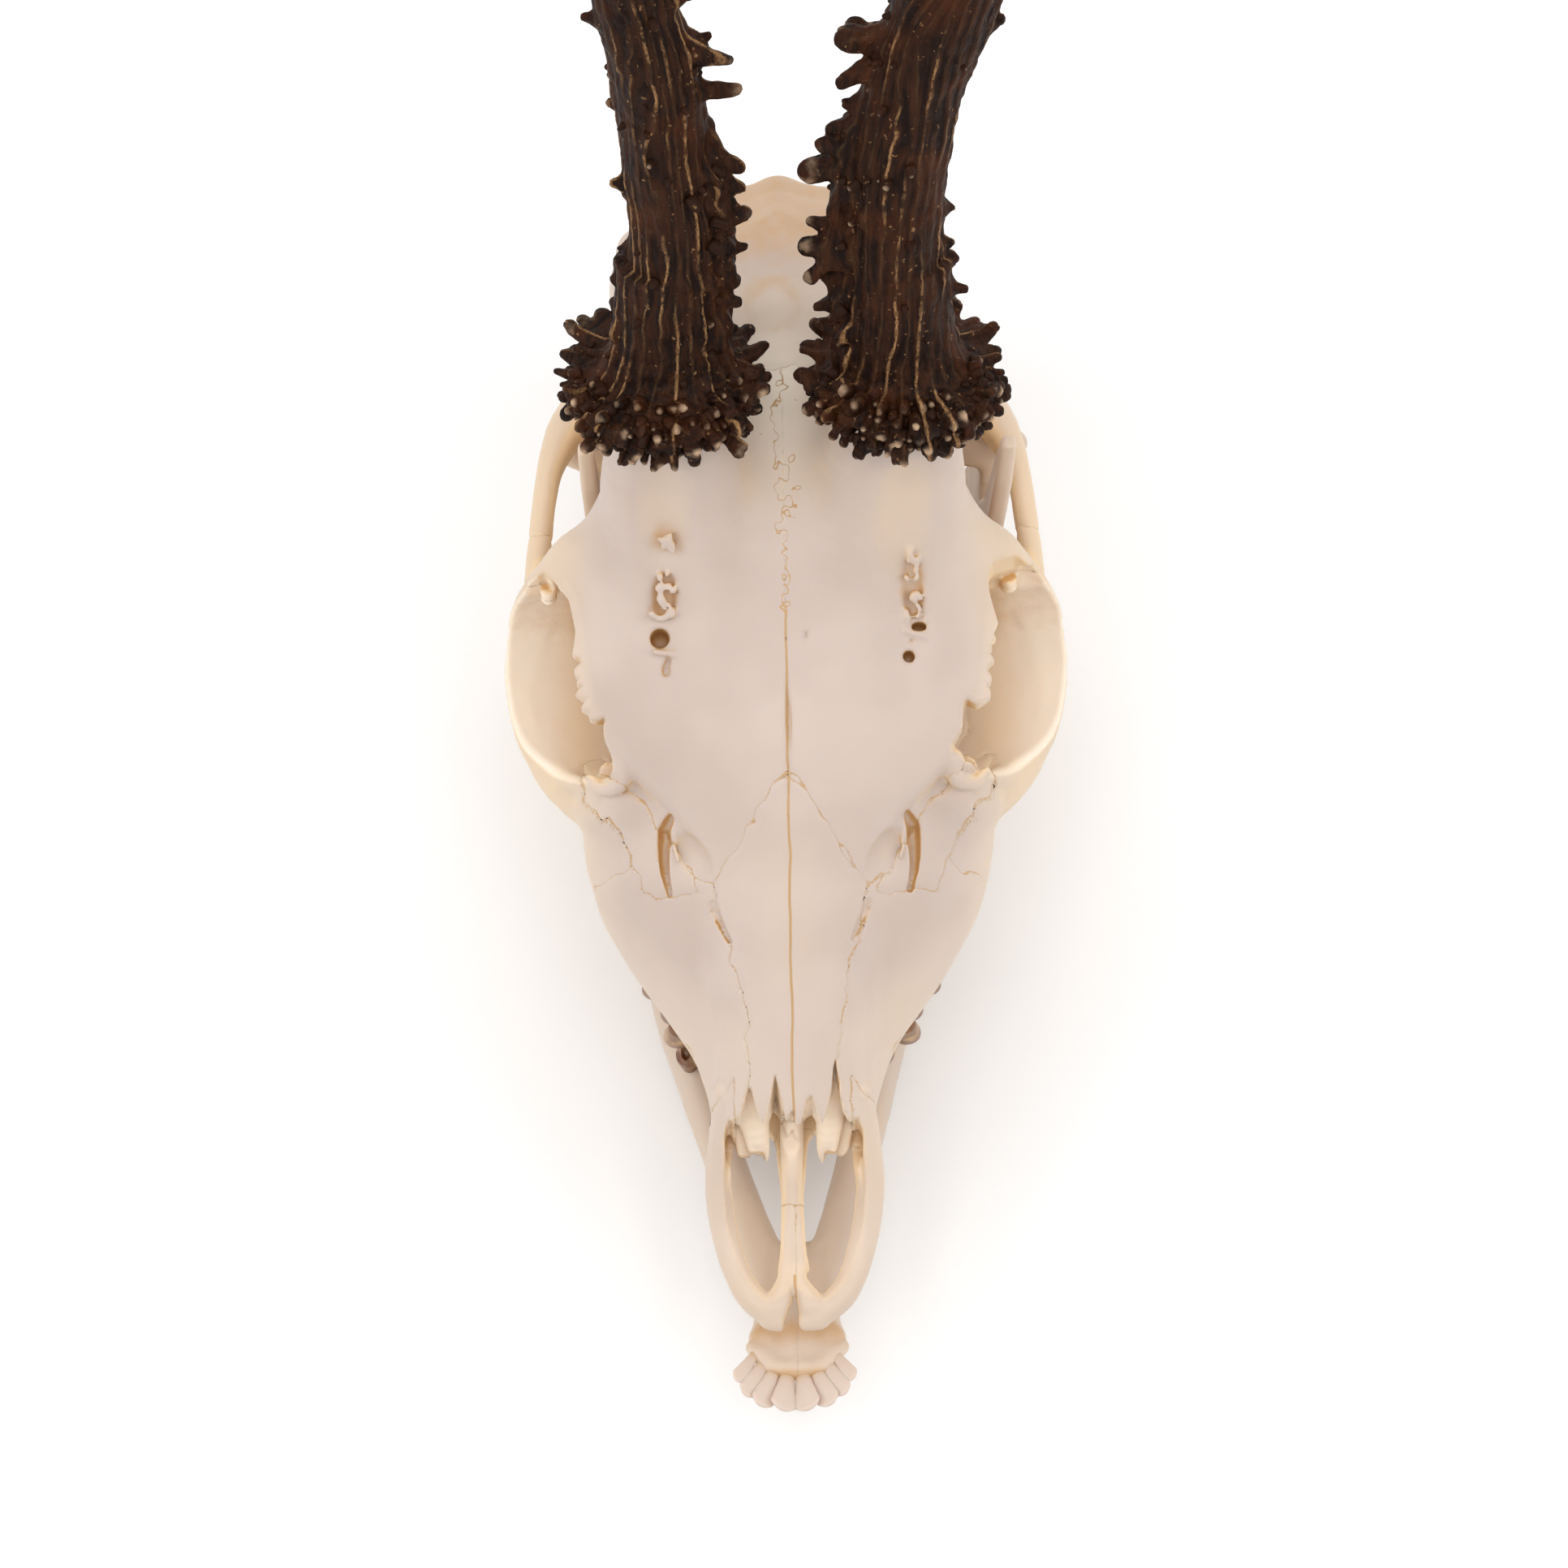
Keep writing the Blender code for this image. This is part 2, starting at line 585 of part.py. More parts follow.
RAMUS = [       # side outline of the rising branch: s, z
    (104, -20), (112, -12), (118, -1), (123, 11), (127, 22), (130.5, 33), (134, 41), (138.5, 46.5),
    (141, 45.6), (140.6, 39), (139, 30), (138.6, 21), (140.5, 13.4), (144, 11.6), (149, 13.4),
    (155, 13.0), (155.6, 7), (154.4, -2), (156, -13), (158.6, -24), (157.6, -34), (152, -41),
    (143, -JAW_HEIGHT), (132, -41.4), (120, -40), (106, -38),
]
RAMUS_THICKNESS = 3.2
RAMUS_X = 27.0                  # inner face of the ramus at its front edge
RAMUS_SPLAY = 0.08              # how fast it moves outward towards the joint
# lower cheek teeth: s, x, half length, half width
LOWER_TEETH = [
    (52.0, 16.6, 3.8, 2.8),
    (60.0, 18.2, 4.0, 3.2),
    (68.5, 19.6, 4.2, 3.6),
    (78.0, 21.0, 5.0, 3.9),
    (89.0, 22.6, 5.6, 4.1),
    (101.5, 24.4, 6.4, 4.2),
]
LOWER_CROWN = 8.4
LOWER_CROWN_Z = -13.2           # middle of the lower crowns
# fan of front teeth: roots and edges of the innermost and the outermost one
FRONT_TEETH = 4
FRONT_ROOTS = [(1.5, -2.5, -9.6), (6.1, -3.0, -9.6)]
FRONT_CROWNS = [(1.9, -11.8, -4.2), (8.5, -8.4, -4.2)]
# outward set of each half: at the front, at the tooth row, at the ramus, and the ramus's lean
JAW_SET = {"left": (0.0, 0.6, -0.6, 0.03), "right": (0.0, -2.6, 0.9, 0.085)}


def jaw_shift(label, s, z):
    """Outward shift of a jaw half at a place, because dried halves lie a little askew."""
    front, middle, rear, lean = JAW_SET[label]
    if s < 20:
        return front
    if s < 62:
        return front + (middle - front) * (s - 20) / 42
    share = min(1.0, (s - 62) / 60)
    return middle + (rear - middle) * share + lean * share * max(0.0, z + 15)


def build_jaw_half(label):
    side = SIDES[label]
    heap = bmesh.new()
    add_loft(heap, JAW_BODY, upper=2.4, lower=2.2)
    for s, x, half_length, half_width in LOWER_TEETH:
        add_crown(heap, (x, s, LOWER_CROWN_Z), (half_width, half_length, LOWER_CROWN / 2 + 0.4))
    add_ball(heap, (30.5, 150.5, 13.4), (8.0, 4.2, 2.8), (0, -6, 4))        # condyle
    add_tube(heap, [(29, 138, -36, 4.0), (30, 148, -38, 3.8), (30.5, 156, -30, 3.2)], flat=(0, 0.7))
    for step in range(FRONT_TEETH):
        spread = step / (FRONT_TEETH - 1)
        root = Vector(FRONT_ROOTS[0]).lerp(Vector(FRONT_ROOTS[1]), spread)
        crown = Vector(FRONT_CROWNS[0]).lerp(Vector(FRONT_CROWNS[1]), spread)
        add_tube(heap, [(*root, 1.7), (*((root + crown) / 2), 1.8), (*crown, 1.9)])
    half = solid_from(f"mandible_{label}", heap, SKULL)

    heap = bmesh.new()
    inner = [(RAMUS_X + RAMUS_SPLAY * (s - RAMUS[0][0]), s, z) for s, z in RAMUS]
    near = [heap.verts.new(point) for point in inner]
    far = [heap.verts.new((x + RAMUS_THICKNESS, s, z)) for x, s, z in inner]
    count = len(RAMUS)
    for i in range(count):
        j = (i + 1) % count
        heap.faces.new((near[i], near[j], far[j], far[i]))
    heap.faces.new(near)
    heap.faces.new(far[::-1])
    branch = solid_from("ramus", heap, CUTTERS)
    join_into(half, branch)
    fuse(half, 0.85, smoothing=4)
    for vertex in half.data.vertices:
        x, s, z = (value / MM for value in vertex.co)
        x = max(x, GAP / 2)
        vertex.co.x = side * (x + jaw_shift(label, s, z)) * MM
    if side < 0:
        half.data.flip_normals()
    keep_largest(half)
    return half


def join_into(solid, other):
    heap = bmesh.new()
    heap.from_mesh(solid.data)
    heap.from_mesh(other.data)
    heap.to_mesh(solid.data)
    heap.free()


# ---------------------------------------------------------------- antlers

# centre line of each beam: distance along the lean, sideways x, bow forward (-) or back (+), radius
BEAMS = {
    "left": [(0, -18.9, 0, 8.2), (12, -17.3, 0, 7.2), (29, -16.8, 0, 7.0), (44, -17.4, 0.5, 6.9),
             (59, -18.8, 1.0, 6.8), (74, -22.2, 1.0, 6.3), (98, -27.5, 0.5, 6.6),
             (118, -32.0, -1.0, 6.8), (138, -35.5, -3.0, 5.4), (156, -38.0, -4.0, 5.2),
             (180, -39.5, -6.0, 3.6), (ANTLER_LENGTH, -38.5, -9.5, 1.4)],
    "right": [(0, 19.6, 0, 8.8), (14, 18.4, 0, 8.0), (29, 17.9, 0, 7.8), (44, 19.0, 0.5, 7.9),
              (58, 21.8, 1.0, 7.7), (74, 27.0, 1.0, 8.0), (98, 34.0, 0.5, 7.2),
              (118, 39.5, -1.0, 7.0), (138, 43.0, -3.0, 5.6), (156, 45.0, -4.0, 5.2),
              (180, 45.5, -6.0, 3.6), (ANTLER_LENGTH, 43.5, -9.5, 1.4)],
}
FRONT_FORK = 116.0              # where the front tine leaves the beam, along the beam
FRONT_TINE = [(0, 0, 0, 5.4), (6, 11, 1.0, 4.4), (18, 21, 2.5, 3.4), (34, 27, 3.5, 1.2)]
REAR_FORK = 156.0               # where the rear tine leaves it
REAR_TINE = [(0, 0, 0, 4.6), (6, -9, 1.0, 3.8), (15, -17, 2.0, 2.8), (26, -23, 2.5, 1.0)]
PEARLS = {      # big pearls on the inner side: distance along the beam, height above the bark
    "left": [(13, 4.0), (22, 3.4), (33, 4.2), (38, 3.4), (45, 3.8), (60, 6.2), (66, 5.4), (84, 4.0)],
    "right": [(11, 3.6), (20, 4.6), (24, 4.2), (40, 4.8), (50, 3.2), (64, 4.6), (70, 4.4), (88, 3.6)],
}


def beam_axis(side):
    """Directions along the beam, across it sideways and across it backwards."""
    along = Vector((0, math.sin(ANTLER_LEAN), math.cos(ANTLER_LEAN)))
    back = Vector((0, math.cos(ANTLER_LEAN), -math.sin(ANTLER_LEAN)))
    return along, Vector((side, 0, 0)), back


def beam_point(label, reach):
    """Centre and radius of a beam at a distance along it."""
    along, _, back = beam_axis(SIDES[label])
    stations = BEAMS[label]
    for low, high in zip(stations, stations[1:]):
        if reach <= high[0]:
            break
    share = (reach - low[0]) / (high[0] - low[0])
    _, x, bow, radius = (a + (b - a) * share for a, b in zip(low, high))
    base = Vector((0, CORONET_S, CORONET_Z))
    return base + Vector((x, 0, 0)) + along * reach + back * bow, radius


def build_antler(label):
    side = SIDES[label]
    along, out, back = beam_axis(side)
    heap = bmesh.new()
    beam = [(*beam_point(label, station[0])[0], station[3]) for station in BEAMS[label]]
    foot = beam_point(label, 0)[0] - along * CORONET_DEPTH
    add_tube(heap, [(*(foot - along * 2), 9.4)] + beam)
    for fork, tine in ((FRONT_FORK, FRONT_TINE), (REAR_FORK, REAR_TINE)):
        root = beam_point(label, fork)[0]
        add_tube(heap, [(*(root + along * up - back * forward + out * wide), radius)
                        for up, forward, wide, radius in tine])
    flare = 0.78 * CORONET_RADIUS
    for ring_height, ring_radius, ring_depth in ((-1.2, flare, 3.2), (1.4, flare * 0.86, 3.2)):
        ring = []
        for i in range(12):
            angle = 2 * math.pi * i / 12
            spot = foot + along * (CORONET_DEPTH + ring_height)
            spot += (out * math.cos(angle) + back * math.sin(angle)) * ring_radius
            ring.append((*spot, ring_depth))
        add_tube(heap, ring, closed=True)
    for i in range(CORONET_PEARLS):
        angle = 2 * math.pi * i / CORONET_PEARLS
        level = 1.6 * math.sin(5 * angle) - 0.6
        reach = CORONET_RADIUS + 1.6 * math.cos(3 * angle + side)
        outward = out * math.cos(angle) + back * math.sin(angle)
        root = foot + along * (CORONET_DEPTH + level) + outward * (flare - 1)
        tip = foot + along * (CORONET_DEPTH + 1.4 + 1.4 * level) + outward * (reach + 1.6)
        add_tube(heap, [(*root, 2.6), (*((root + tip) / 2), 2.2), (*tip, 1.1)])
    for reach, height in PEARLS[label]:
        centre, radius = beam_point(label, reach)
        root = centre - out * (radius - 2)
        tip = centre - out * (radius + height) + along * 0.6
        add_tube(heap, [(*root, 2.9), (*((root + tip) / 2), 2.3), (*tip, 1.0)])
    antler = solid_from(f"antler_{label}_beam", heap, SKULL)
    fuse(antler, 0.85, smoothing=3)
    cut(antler, slab(f"{antler.name}_base", foot, -along, 80, 40))
    keep_largest(antler)
    thin_out(antler, ANTLER_TRIANGLES)
    return antler


def slab(name, centre, normal, across, depth):
    """Box with its near face on a point, reaching backwards along the normal."""
    heap = bmesh.new()
    turn = Vector(normal).to_track_quat("Z", "Y").to_matrix().to_4x4()
    middle = Vector(centre) + Vector(normal).normalized() * depth / 2
    place = Matrix.Translation(middle) @ turn @ Matrix.Diagonal((across, across, depth, 1))
    bmesh.ops.create_cube(heap, size=1, matrix=place)
    return solid_from(name, heap, CUTTERS)


def divide_antler(antler, label):
    """Splits an antler at its main forks."""
    along, out, back = beam_axis(SIDES[label])
    pieces = [antler]
    cuts = [("front_tine", FRONT_FORK, -back - along * 0.24, 6.4, 7.5),
            ("rear_tine", REAR_FORK, back - along * 0.3, 4.6, 5.0)]
    for name, fork, direction, offset, below in cuts:
        direction = direction.normalized()
        up = (along - direction * along.dot(direction)).normalized()
        root = beam_point(label, fork)[0] + direction * offset + up * (TINE_SLAB / 2 - below)
        tine = copy_of(antler, f"antler_{label}_{name}")
        cut(tine, slab(f"{tine.name}_in", root, direction, TINE_SLAB, 60), "INTERSECT")
        keep_largest(tine)
        cut(antler, slab(f"{tine.name}_out", root - direction * GAP, direction, TINE_SLAB + 2 * GAP, 60))
        keep_largest(antler)
        pieces.append(tine)
    for name, reach in (("top_tine", REAR_FORK + 7), ("upper_beam", FRONT_FORK + 9)):
        spot = beam_point(label, reach)[0]
        upper = copy_of(antler, f"antler_{label}_{name}")
        cut(upper, slab(f"{upper.name}_in", spot, along, 90, 120), "INTERSECT")
        keep_largest(upper)
        cut(antler, slab(f"{upper.name}_out", spot - along * GAP, along, 90, 120))
        keep_largest(antler)
        pieces.append(upper)
    return pieces


# ---------------------------------------------------------------- assembly


def clear_scene():
    for item in list(bpy.data.objects):
        bpy.data.objects.remove(item)


def collection(name, hidden=False):
    group = bpy.data.collections.new(name)
    bpy.context.scene.collection.children.link(group)
    group.hide_render = hidden
    return group


def material(name, code, roughness):
    """Plain finish from an sRGB hex colour."""
    finish = bpy.data.materials.new(name)
    finish.use_nodes = True
    shader = finish.node_tree.nodes["Principled BSDF"]
    channels = [int(code[i:i + 2], 16) / 255 for i in (0, 2, 4)]
    linear = [c / 12.92 if c <= 0.04045 else ((c + 0.055) / 1.055) ** 2.4 for c in channels]
    shader.inputs["Base Color"].default_value = (*linear, 1)
    shader.inputs["Roughness"].default_value = roughness
    shader.inputs["Metallic"].default_value = 0
    return finish


def footed(bones):
    """Slices level flats off the underside of the jaw halves and returns their height in metres."""
    turn = Matrix.Rotation(REST_TILT, 4, "X")
    halves = [bone for bone in bones if bone.name.startswith("mandible")]
    lowest = min((turn @ vertex.co).z for half in halves for vertex in half.data.vertices)
    level = turn.inverted() @ Vector((0, 0, lowest / MM + FOOTING))
    down = turn.inverted() @ Vector((0, 0, -1))
    for half in halves:
        cut(half, slab(f"{half.name}_footing", level, down, 500, 50))
        keep_largest(half)
    return lowest + FOOTING * MM


def lay_down(solids, floor):
    """Hangs everything on one empty that tilts it and brings it to the floor, centred on the origin."""
    rest = bpy.data.objects.new("rest", None)
    SKULL.objects.link(rest)
    turn = Matrix.Rotation(REST_TILT, 4, "X")
    corners = [turn @ vertex.co for solid in solids for vertex in solid.data.vertices]
    middle_x = (min(corner.x for corner in corners) + max(corner.x for corner in corners)) / 2
    middle_y = (min(corner.y for corner in corners) + max(corner.y for corner in corners)) / 2
    rest.rotation_euler = (REST_TILT, 0, 0)
    rest.location = (-middle_x, -middle_y, -floor)
    for solid in solids:
        solid.parent = rest


def paint(solids, code, roughness):
    for solid in solids:
        solid.data.materials.clear()
        solid.data.materials.append(material(solid.name, code, roughness))
        solid.data.shade_smooth()


clear_scene()
SKULL = collection("roe_buck_skull")
CUTTERS = collection("cutters", hidden=True)

cranium = build_cranium()
thin_out(cranium, CRANIUM_TRIANGLES)
bones = divide_cranium(cranium)
antlers = []
for label in SIDES:
    half = build_jaw_half(label)
    thin_out(half, JAW_TRIANGLES)
    keep_largest(half)
    bones.append(half)
    antlers += divide_antler(build_antler(label), label)

lay_down(bones + antlers, footed(bones))
paint(bones, BONE_COLOUR, BONE_ROUGHNESS)
paint(antlers, BARK_COLOUR, BARK_ROUGHNESS)
for cutter in CUTTERS.objects:
    cutter.hide_render = True
    cutter.display_type = "WIRE"
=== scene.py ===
# Roe buck skull on its lower jaw: the looks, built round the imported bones.
#
# Every bone is drawn in the skull's own frame, in millimetres: x to the right of the picture,
# s backwards from the front of the upper jaw, z up from the upper tooth sockets. The bones are
# solid fields on a grid, joined softly, parted along their sutures and given a fine skin.

import math

import bpy
import bmesh
import numpy as np
from mathutils import Matrix, Vector


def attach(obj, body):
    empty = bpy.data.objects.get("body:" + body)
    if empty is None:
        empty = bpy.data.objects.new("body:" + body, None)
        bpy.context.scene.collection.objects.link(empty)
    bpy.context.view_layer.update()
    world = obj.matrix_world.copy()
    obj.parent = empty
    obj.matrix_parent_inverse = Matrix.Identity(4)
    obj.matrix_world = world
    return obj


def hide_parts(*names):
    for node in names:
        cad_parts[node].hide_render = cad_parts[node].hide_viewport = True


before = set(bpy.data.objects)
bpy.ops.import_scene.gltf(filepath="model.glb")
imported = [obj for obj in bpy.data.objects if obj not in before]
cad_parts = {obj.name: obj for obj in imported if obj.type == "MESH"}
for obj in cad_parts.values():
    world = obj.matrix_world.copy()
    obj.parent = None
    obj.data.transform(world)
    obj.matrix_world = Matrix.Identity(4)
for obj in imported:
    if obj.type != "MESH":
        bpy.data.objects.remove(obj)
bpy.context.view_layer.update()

rest = {
    "tilt": math.radians(5.2),          # nose down, as the skull lies on its jaw
    "offset": (-1.34, -110.81, 29.31),  # mm, where the front of the upper jaw comes to lie
}
grid = {                                # mm between a grid's points
    "bone": 0.45,
    "antler": 0.44,
    "tooth": 0.38,
    "braincase": 1.4,                   # times the grid of the other bones: it is large and smooth
    # two corners of the grid of the cranium, of half the lower jaw and of each template tooth
    "craniumBox": ((-52, -4, -14), (52, 201, 83)), "jawBox": ((-3, -9, -46), (45, 163, 50)),
    "molarBox": ((-6, -6, -6), (6, 6, 7)), "incisorBox": ((-4, -4, -3), (4, 12, 3)),
}
sides = {"left": -1, "right": 1}
cosine, sine = math.cos(rest["tilt"]), math.sin(rest["tilt"])
tilted = np.array([[1, 0, 0], [0, cosine, -sine], [0, sine, cosine]])


def place(points):
    # skull frame in mm to the world in metres
    return (np.asarray(points, float) @ tilted.T + rest["offset"]) / 1000


def fade(value, start, end):
    # 0 up to start and 1 from end on, straight in between
    return np.clip((value - start) / (end - start), 0, 1)


def bell(value, middle, width):
    return np.exp(-((value - middle) / width) ** 2)


def corners(part):
    # the eight corners of a cell and how much each one counts at this place in it
    for number in range(8):
        offset = np.array([number & 1, number >> 1 & 1, number >> 2 & 1])
        yield offset, np.prod(np.where(offset, part, 1 - part), axis=-1)


lattice = np.random.default_rng(12).uniform(-1, 1, (32, 32, 32)).astype(np.float32)


def noise(points, size):
    # smooth bumps between -1 and 1, about as wide as size
    spot = np.asarray(points, float) / size + 100
    cell = np.floor(spot).astype(int)
    part = spot - cell
    total = 0
    for offset, weight in corners(part * part * (3 - 2 * part)):
        i = (cell + offset) % 32
        total = total + weight * lattice[i[..., 0], i[..., 1], i[..., 2]]
    return total


# solid fields: negative inside, about one per millimetre

def newField(low, high, size):
    axes = [np.arange(a, b + size, size, dtype=np.float32) for a, b in zip(low, high)]
    return {"axes": axes, "step": size, "d": np.full([len(a) for a in axes], 50, np.float32)}


def window(field, low, high):
    # the part of the grid between two corners, and its coordinates
    cut, near = [], []
    for line, a, b in zip(field["axes"], low, high):
        first = min(len(line) - 1, max(0, int((a - line[0]) / field["step"])))
        last = max(first + 1, min(len(line), int((b - line[0]) / field["step"]) + 2))
        cut.append(slice(first, last))
        near.append(line[first:last])
    return tuple(cut), near[0][:, None, None], near[1][None, :, None], near[2][None, None, :]


def soften(a, b, blend):
    h = np.maximum(blend - np.abs(a - b), 0)
    return np.minimum(a, b) - h * h * (0.25 / blend)


def merge(field, cut, shape, blend, cutting=False):
    old = field["d"][cut]
    field["d"][cut] = -soften(-old, shape, blend) if cutting else soften(old, shape, blend)


def smoothPath(points, finer=4):
    # a curve through the points, with more of them
    p = np.asarray(points, float)
    p = np.vstack([2 * p[:1] - p[1:2], p, 2 * p[-1:] - p[-2:-1]])
    out = []
    for a, b, c, d in zip(p, p[1:], p[2:], p[3:]):
        for t in np.arange(finer) / finer:
            out.append(b + 0.5 * t * (c - a + t * (2 * a - 5 * b + 4 * c - d
                                                   + t * (3 * b - a - 3 * c + d))))
    return np.array(out + [p[-2]])


def bar(field, points, blend=1.2, flat=None, cutting=False, finer=4):
    # round bar along (x, s, z, radius) points; flat = (direction, factor) squeezes it
    line = smoothPath(points, finer)
    reach = line[:, 3].max() + blend + 1
    cut, x, s, z = window(field, line[:, :3].min(0) - reach, line[:, :3].max(0) + reach)
    near = {"axes": [x.ravel(), s.ravel(), z.ravel()], "step": field["step"]}
    near["d"] = np.full((x.size, s.size, z.size), 50, np.float32)
    for a, b in zip(line, line[1:]):
        piece, px, ps, pz = window(near, np.minimum(a, b)[:3] - reach, np.maximum(a, b)[:3] + reach)
        ex, es, ez = (b - a)[:3]
        qx, qs, qz = px - a[0], ps - a[1], pz - a[2]
        t = np.clip((qx * ex + qs * es + qz * ez) / max(1e-6, ex * ex + es * es + ez * ez), 0, 1)
        qx, qs, qz = qx - t * ex, qs - t * es, qz - t * ez
        apart = qx * qx + qs * qs + qz * qz
        if flat:
            (nx, ns, nz), factor = flat
            apart = apart + (factor * factor - 1) * (qx * nx + qs * ns + qz * nz) ** 2
        shape = np.sqrt(apart) - (a[3] + t * (b[3] - a[3]))
        near["d"][piece] = np.minimum(near["d"][piece], shape)
    merge(field, cut, near["d"], blend, cutting)


def ball(field, centre, radii, lean=0, blend=1.5, cutting=False):
    # ellipsoid, leaning by degrees about s
    reach = max(radii) + blend + 1
    cut, x, s, z = window(field, np.subtract(centre, reach), np.add(centre, reach))
    c, t = math.cos(math.radians(lean)), math.sin(math.radians(lean))
    dx, ds, dz = x - centre[0], s - centre[1], z - centre[2]
    u, w = dx * c - dz * t, dx * t + dz * c
    rx, rs, rz = radii
    k = np.sqrt((u / rx) ** 2 + (ds / rs) ** 2 + (w / rz) ** 2)
    slope = np.sqrt((u / rx ** 2) ** 2 + (ds / rs ** 2) ** 2 + (w / rz ** 2) ** 2) + 1e-6
    merge(field, cut, k * (k - 1) / slope, blend, cutting)


def profile(stations, at, softness):
    # the columns of a table along its first one, without kinks
    rows = np.array(stations, float)
    pitch = 0.5
    lead = 4 * softness
    fine = np.arange(rows[0, 0] - lead, rows[-1, 0] + lead, pitch)
    reach = int(3 * softness / pitch)
    kernel = np.exp(-0.5 * (np.arange(-reach, reach + 1) * pitch / softness) ** 2)
    kernel /= kernel.sum()
    columns = []
    for column in rows[:, 1:].T:
        line = np.pad(np.interp(fine, rows[:, 0], column), reach, mode="edge")
        columns.append(np.interp(at, fine, np.convolve(line, kernel, "valid")).astype(np.float32))
    return columns


def loft(field, stations, upper=2.0, lower=2.0, blend=2.0, cutting=False, softness=1.8):
    # body of rounded sections: s, x, half width, top, widest, bottom
    rows = np.array(stations, float)
    reach = blend + 1.5
    wide = np.abs(rows[:, 1]).max() + rows[:, 2].max() + reach
    middle = rows[:, 1].mean()
    low = (middle - wide, rows[0, 0] - reach, rows[:, 5].min() - reach)
    high = (middle + wide, rows[-1, 0] + reach, rows[:, 3].max() + reach)
    cut, x, s, z = window(field, low, high)
    middle, half, top, widest, bottom = (line[None, :, None] for line
                                         in profile(stations, s.ravel(), softness))
    dz = z - widest
    above = dz >= 0
    tall = np.where(above, top - widest, widest - bottom)
    dx = np.abs(x - middle)
    f = np.where(above,
                 ((dx / half) ** upper + (np.abs(dz) / tall) ** upper) ** (1 / upper),
                 ((dx / half) ** lower + (np.abs(dz) / tall) ** lower) ** (1 / lower))
    r = np.sqrt(dx * dx + dz * dz)
    shape = np.where(f > 0.02, r * (1 - 1 / np.maximum(f, 0.02)), -half)
    ends = np.maximum(rows[0, 0] - s, s - rows[-1, 0])
    merge(field, cut, np.maximum(shape, ends), blend, cutting)


def polygonDistance(x, y, outline):
    best, inside = 1e9, False
    points = [tuple(p) for p in outline]
    for (ax, ay), (bx, by) in zip(points, points[1:] + points[:1]):
        ex, ey = bx - ax, by - ay
        t = np.clip(((x - ax) * ex + (y - ay) * ey) / max(1e-9, ex * ex + ey * ey), 0, 1)
        best = np.minimum(best, (x - ax - t * ex) ** 2 + (y - ay - t * ey) ** 2)
        crossing = ((ay > y) != (by > y)) & (x < ax + (y - ay) * ex / (ey if ey else 1e-9))
        inside = inside ^ crossing
    return np.where(inside, -1, 1).astype(np.float32) * np.sqrt(best).astype(np.float32)


def drawShapes(field, rows):
    # a row is (sides, points, options). Points of four numbers make a bar and of six a loft, and a
    # centre with its radii makes a ball; a pair is drawn on both sides.
    for which, points, options in rows:
        for side in (-1, 1) if which == "pair" else (1,):
            also = dict(options)
            shift = also.pop("shift", 0)
            if "lean" in also:
                also["lean"] *= side
            if "flat" in also:
                (nx, ns, nz), factor = also["flat"]
                also["flat"] = ((side * nx, ns, nz), factor)
            if len(points[0]) == 6:
                loft(field, points, **also)
            elif len(points[0]) == 4:
                bar(field, [(side * x + shift, *more) for x, *more in points], **also)
            else:
                (x, s, z), radii = points
                ball(field, (side * x + shift, s, z), radii, **also)


# skin: one point in each cell that the surface crosses, four cells to a face

def skin(d, low, size):
    inside = d < 0
    count = np.zeros([n - 1 for n in d.shape], np.int8)
    offsets = [(i >> 2 & 1, i >> 1 & 1, i & 1) for i in range(8)]
    for i, j, k in offsets:
        count += inside[i:i + count.shape[0], j:j + count.shape[1], k:k + count.shape[2]]
    crossed = (count > 0) & (count < 8)
    cells = np.argwhere(crossed)
    number = np.full(count.shape, -1, np.int32)
    number[crossed] = np.arange(len(cells))
    corner = [d[cells[:, 0] + i, cells[:, 1] + j, cells[:, 2] + k] for i, j, k in offsets]
    total = np.zeros((len(cells), 3))
    hits = np.zeros(len(cells))
    for a in range(8):
        for bit in (1, 2, 4):
            b = a | bit
            if b == a:
                continue
            meets = (corner[a] < 0) != (corner[b] < 0)
            share = np.where(meets, corner[a] / np.where(meets, corner[a] - corner[b], 1), 0)
            start, end = np.array(offsets[a]), np.array(offsets[b])
            total += meets[:, None] * (start + share[:, None] * (end - start))
            hits += meets
    points = (cells + total / hits[:, None]) * size + low
    quads = []
    for axis in range(3):
        u, v = (axis + 1) % 3, (axis + 2) % 3
        first, second = [slice(1, -1)] * 3, [slice(1, -1)] * 3
        first[axis], second[axis] = slice(0, -1), slice(1, None)
        change = inside[tuple(first)] != inside[tuple(second)]
        at = np.argwhere(change)
        starts = inside[tuple(first)][change]
        at[:, u] += 1
        at[:, v] += 1
        corners = []
        for back in ((0, 0), (1, 0), (1, 1), (0, 1)):
            spot = at.copy()
            spot[:, u] -= back[0]
            spot[:, v] -= back[1]
            corners.append(number[spot[:, 0], spot[:, 1], spot[:, 2]])
        quad = np.stack(corners, 1)
        quad[~starts] = quad[~starts][:, ::-1]
        quads.append(quad)
    return points, np.vstack(quads)


def mainBody(points, quads):
    # drops crumbs beside the largest body
    label = np.arange(len(points))
    while True:
        lowest = label[quads].min(1)
        new = label.copy()
        np.minimum.at(new, quads.ravel(), np.repeat(lowest, 4))
        new = new[new]
        if (new == label).all():
            break
        label = new
    names, sizes = np.unique(label, return_counts=True)
    kept = label == names[sizes.argmax()]
    number = np.cumsum(kept) - 1
    return points[kept], number[quads[kept[quads].all(1)]]


def sample(field, points, layer="d"):
    # the field's value at scattered points
    low = np.array([line[0] for line in field["axes"]])
    top = np.array(field[layer].shape) - 1.001
    spot = np.clip((points - low) / field["step"], 0, top)
    cell = spot.astype(int)
    total = 0
    for offset, weight in corners(spot - cell):
        i = cell + offset
        total = total + weight * field[layer][i[:, 0], i[:, 1], i[:, 2]]
    return total


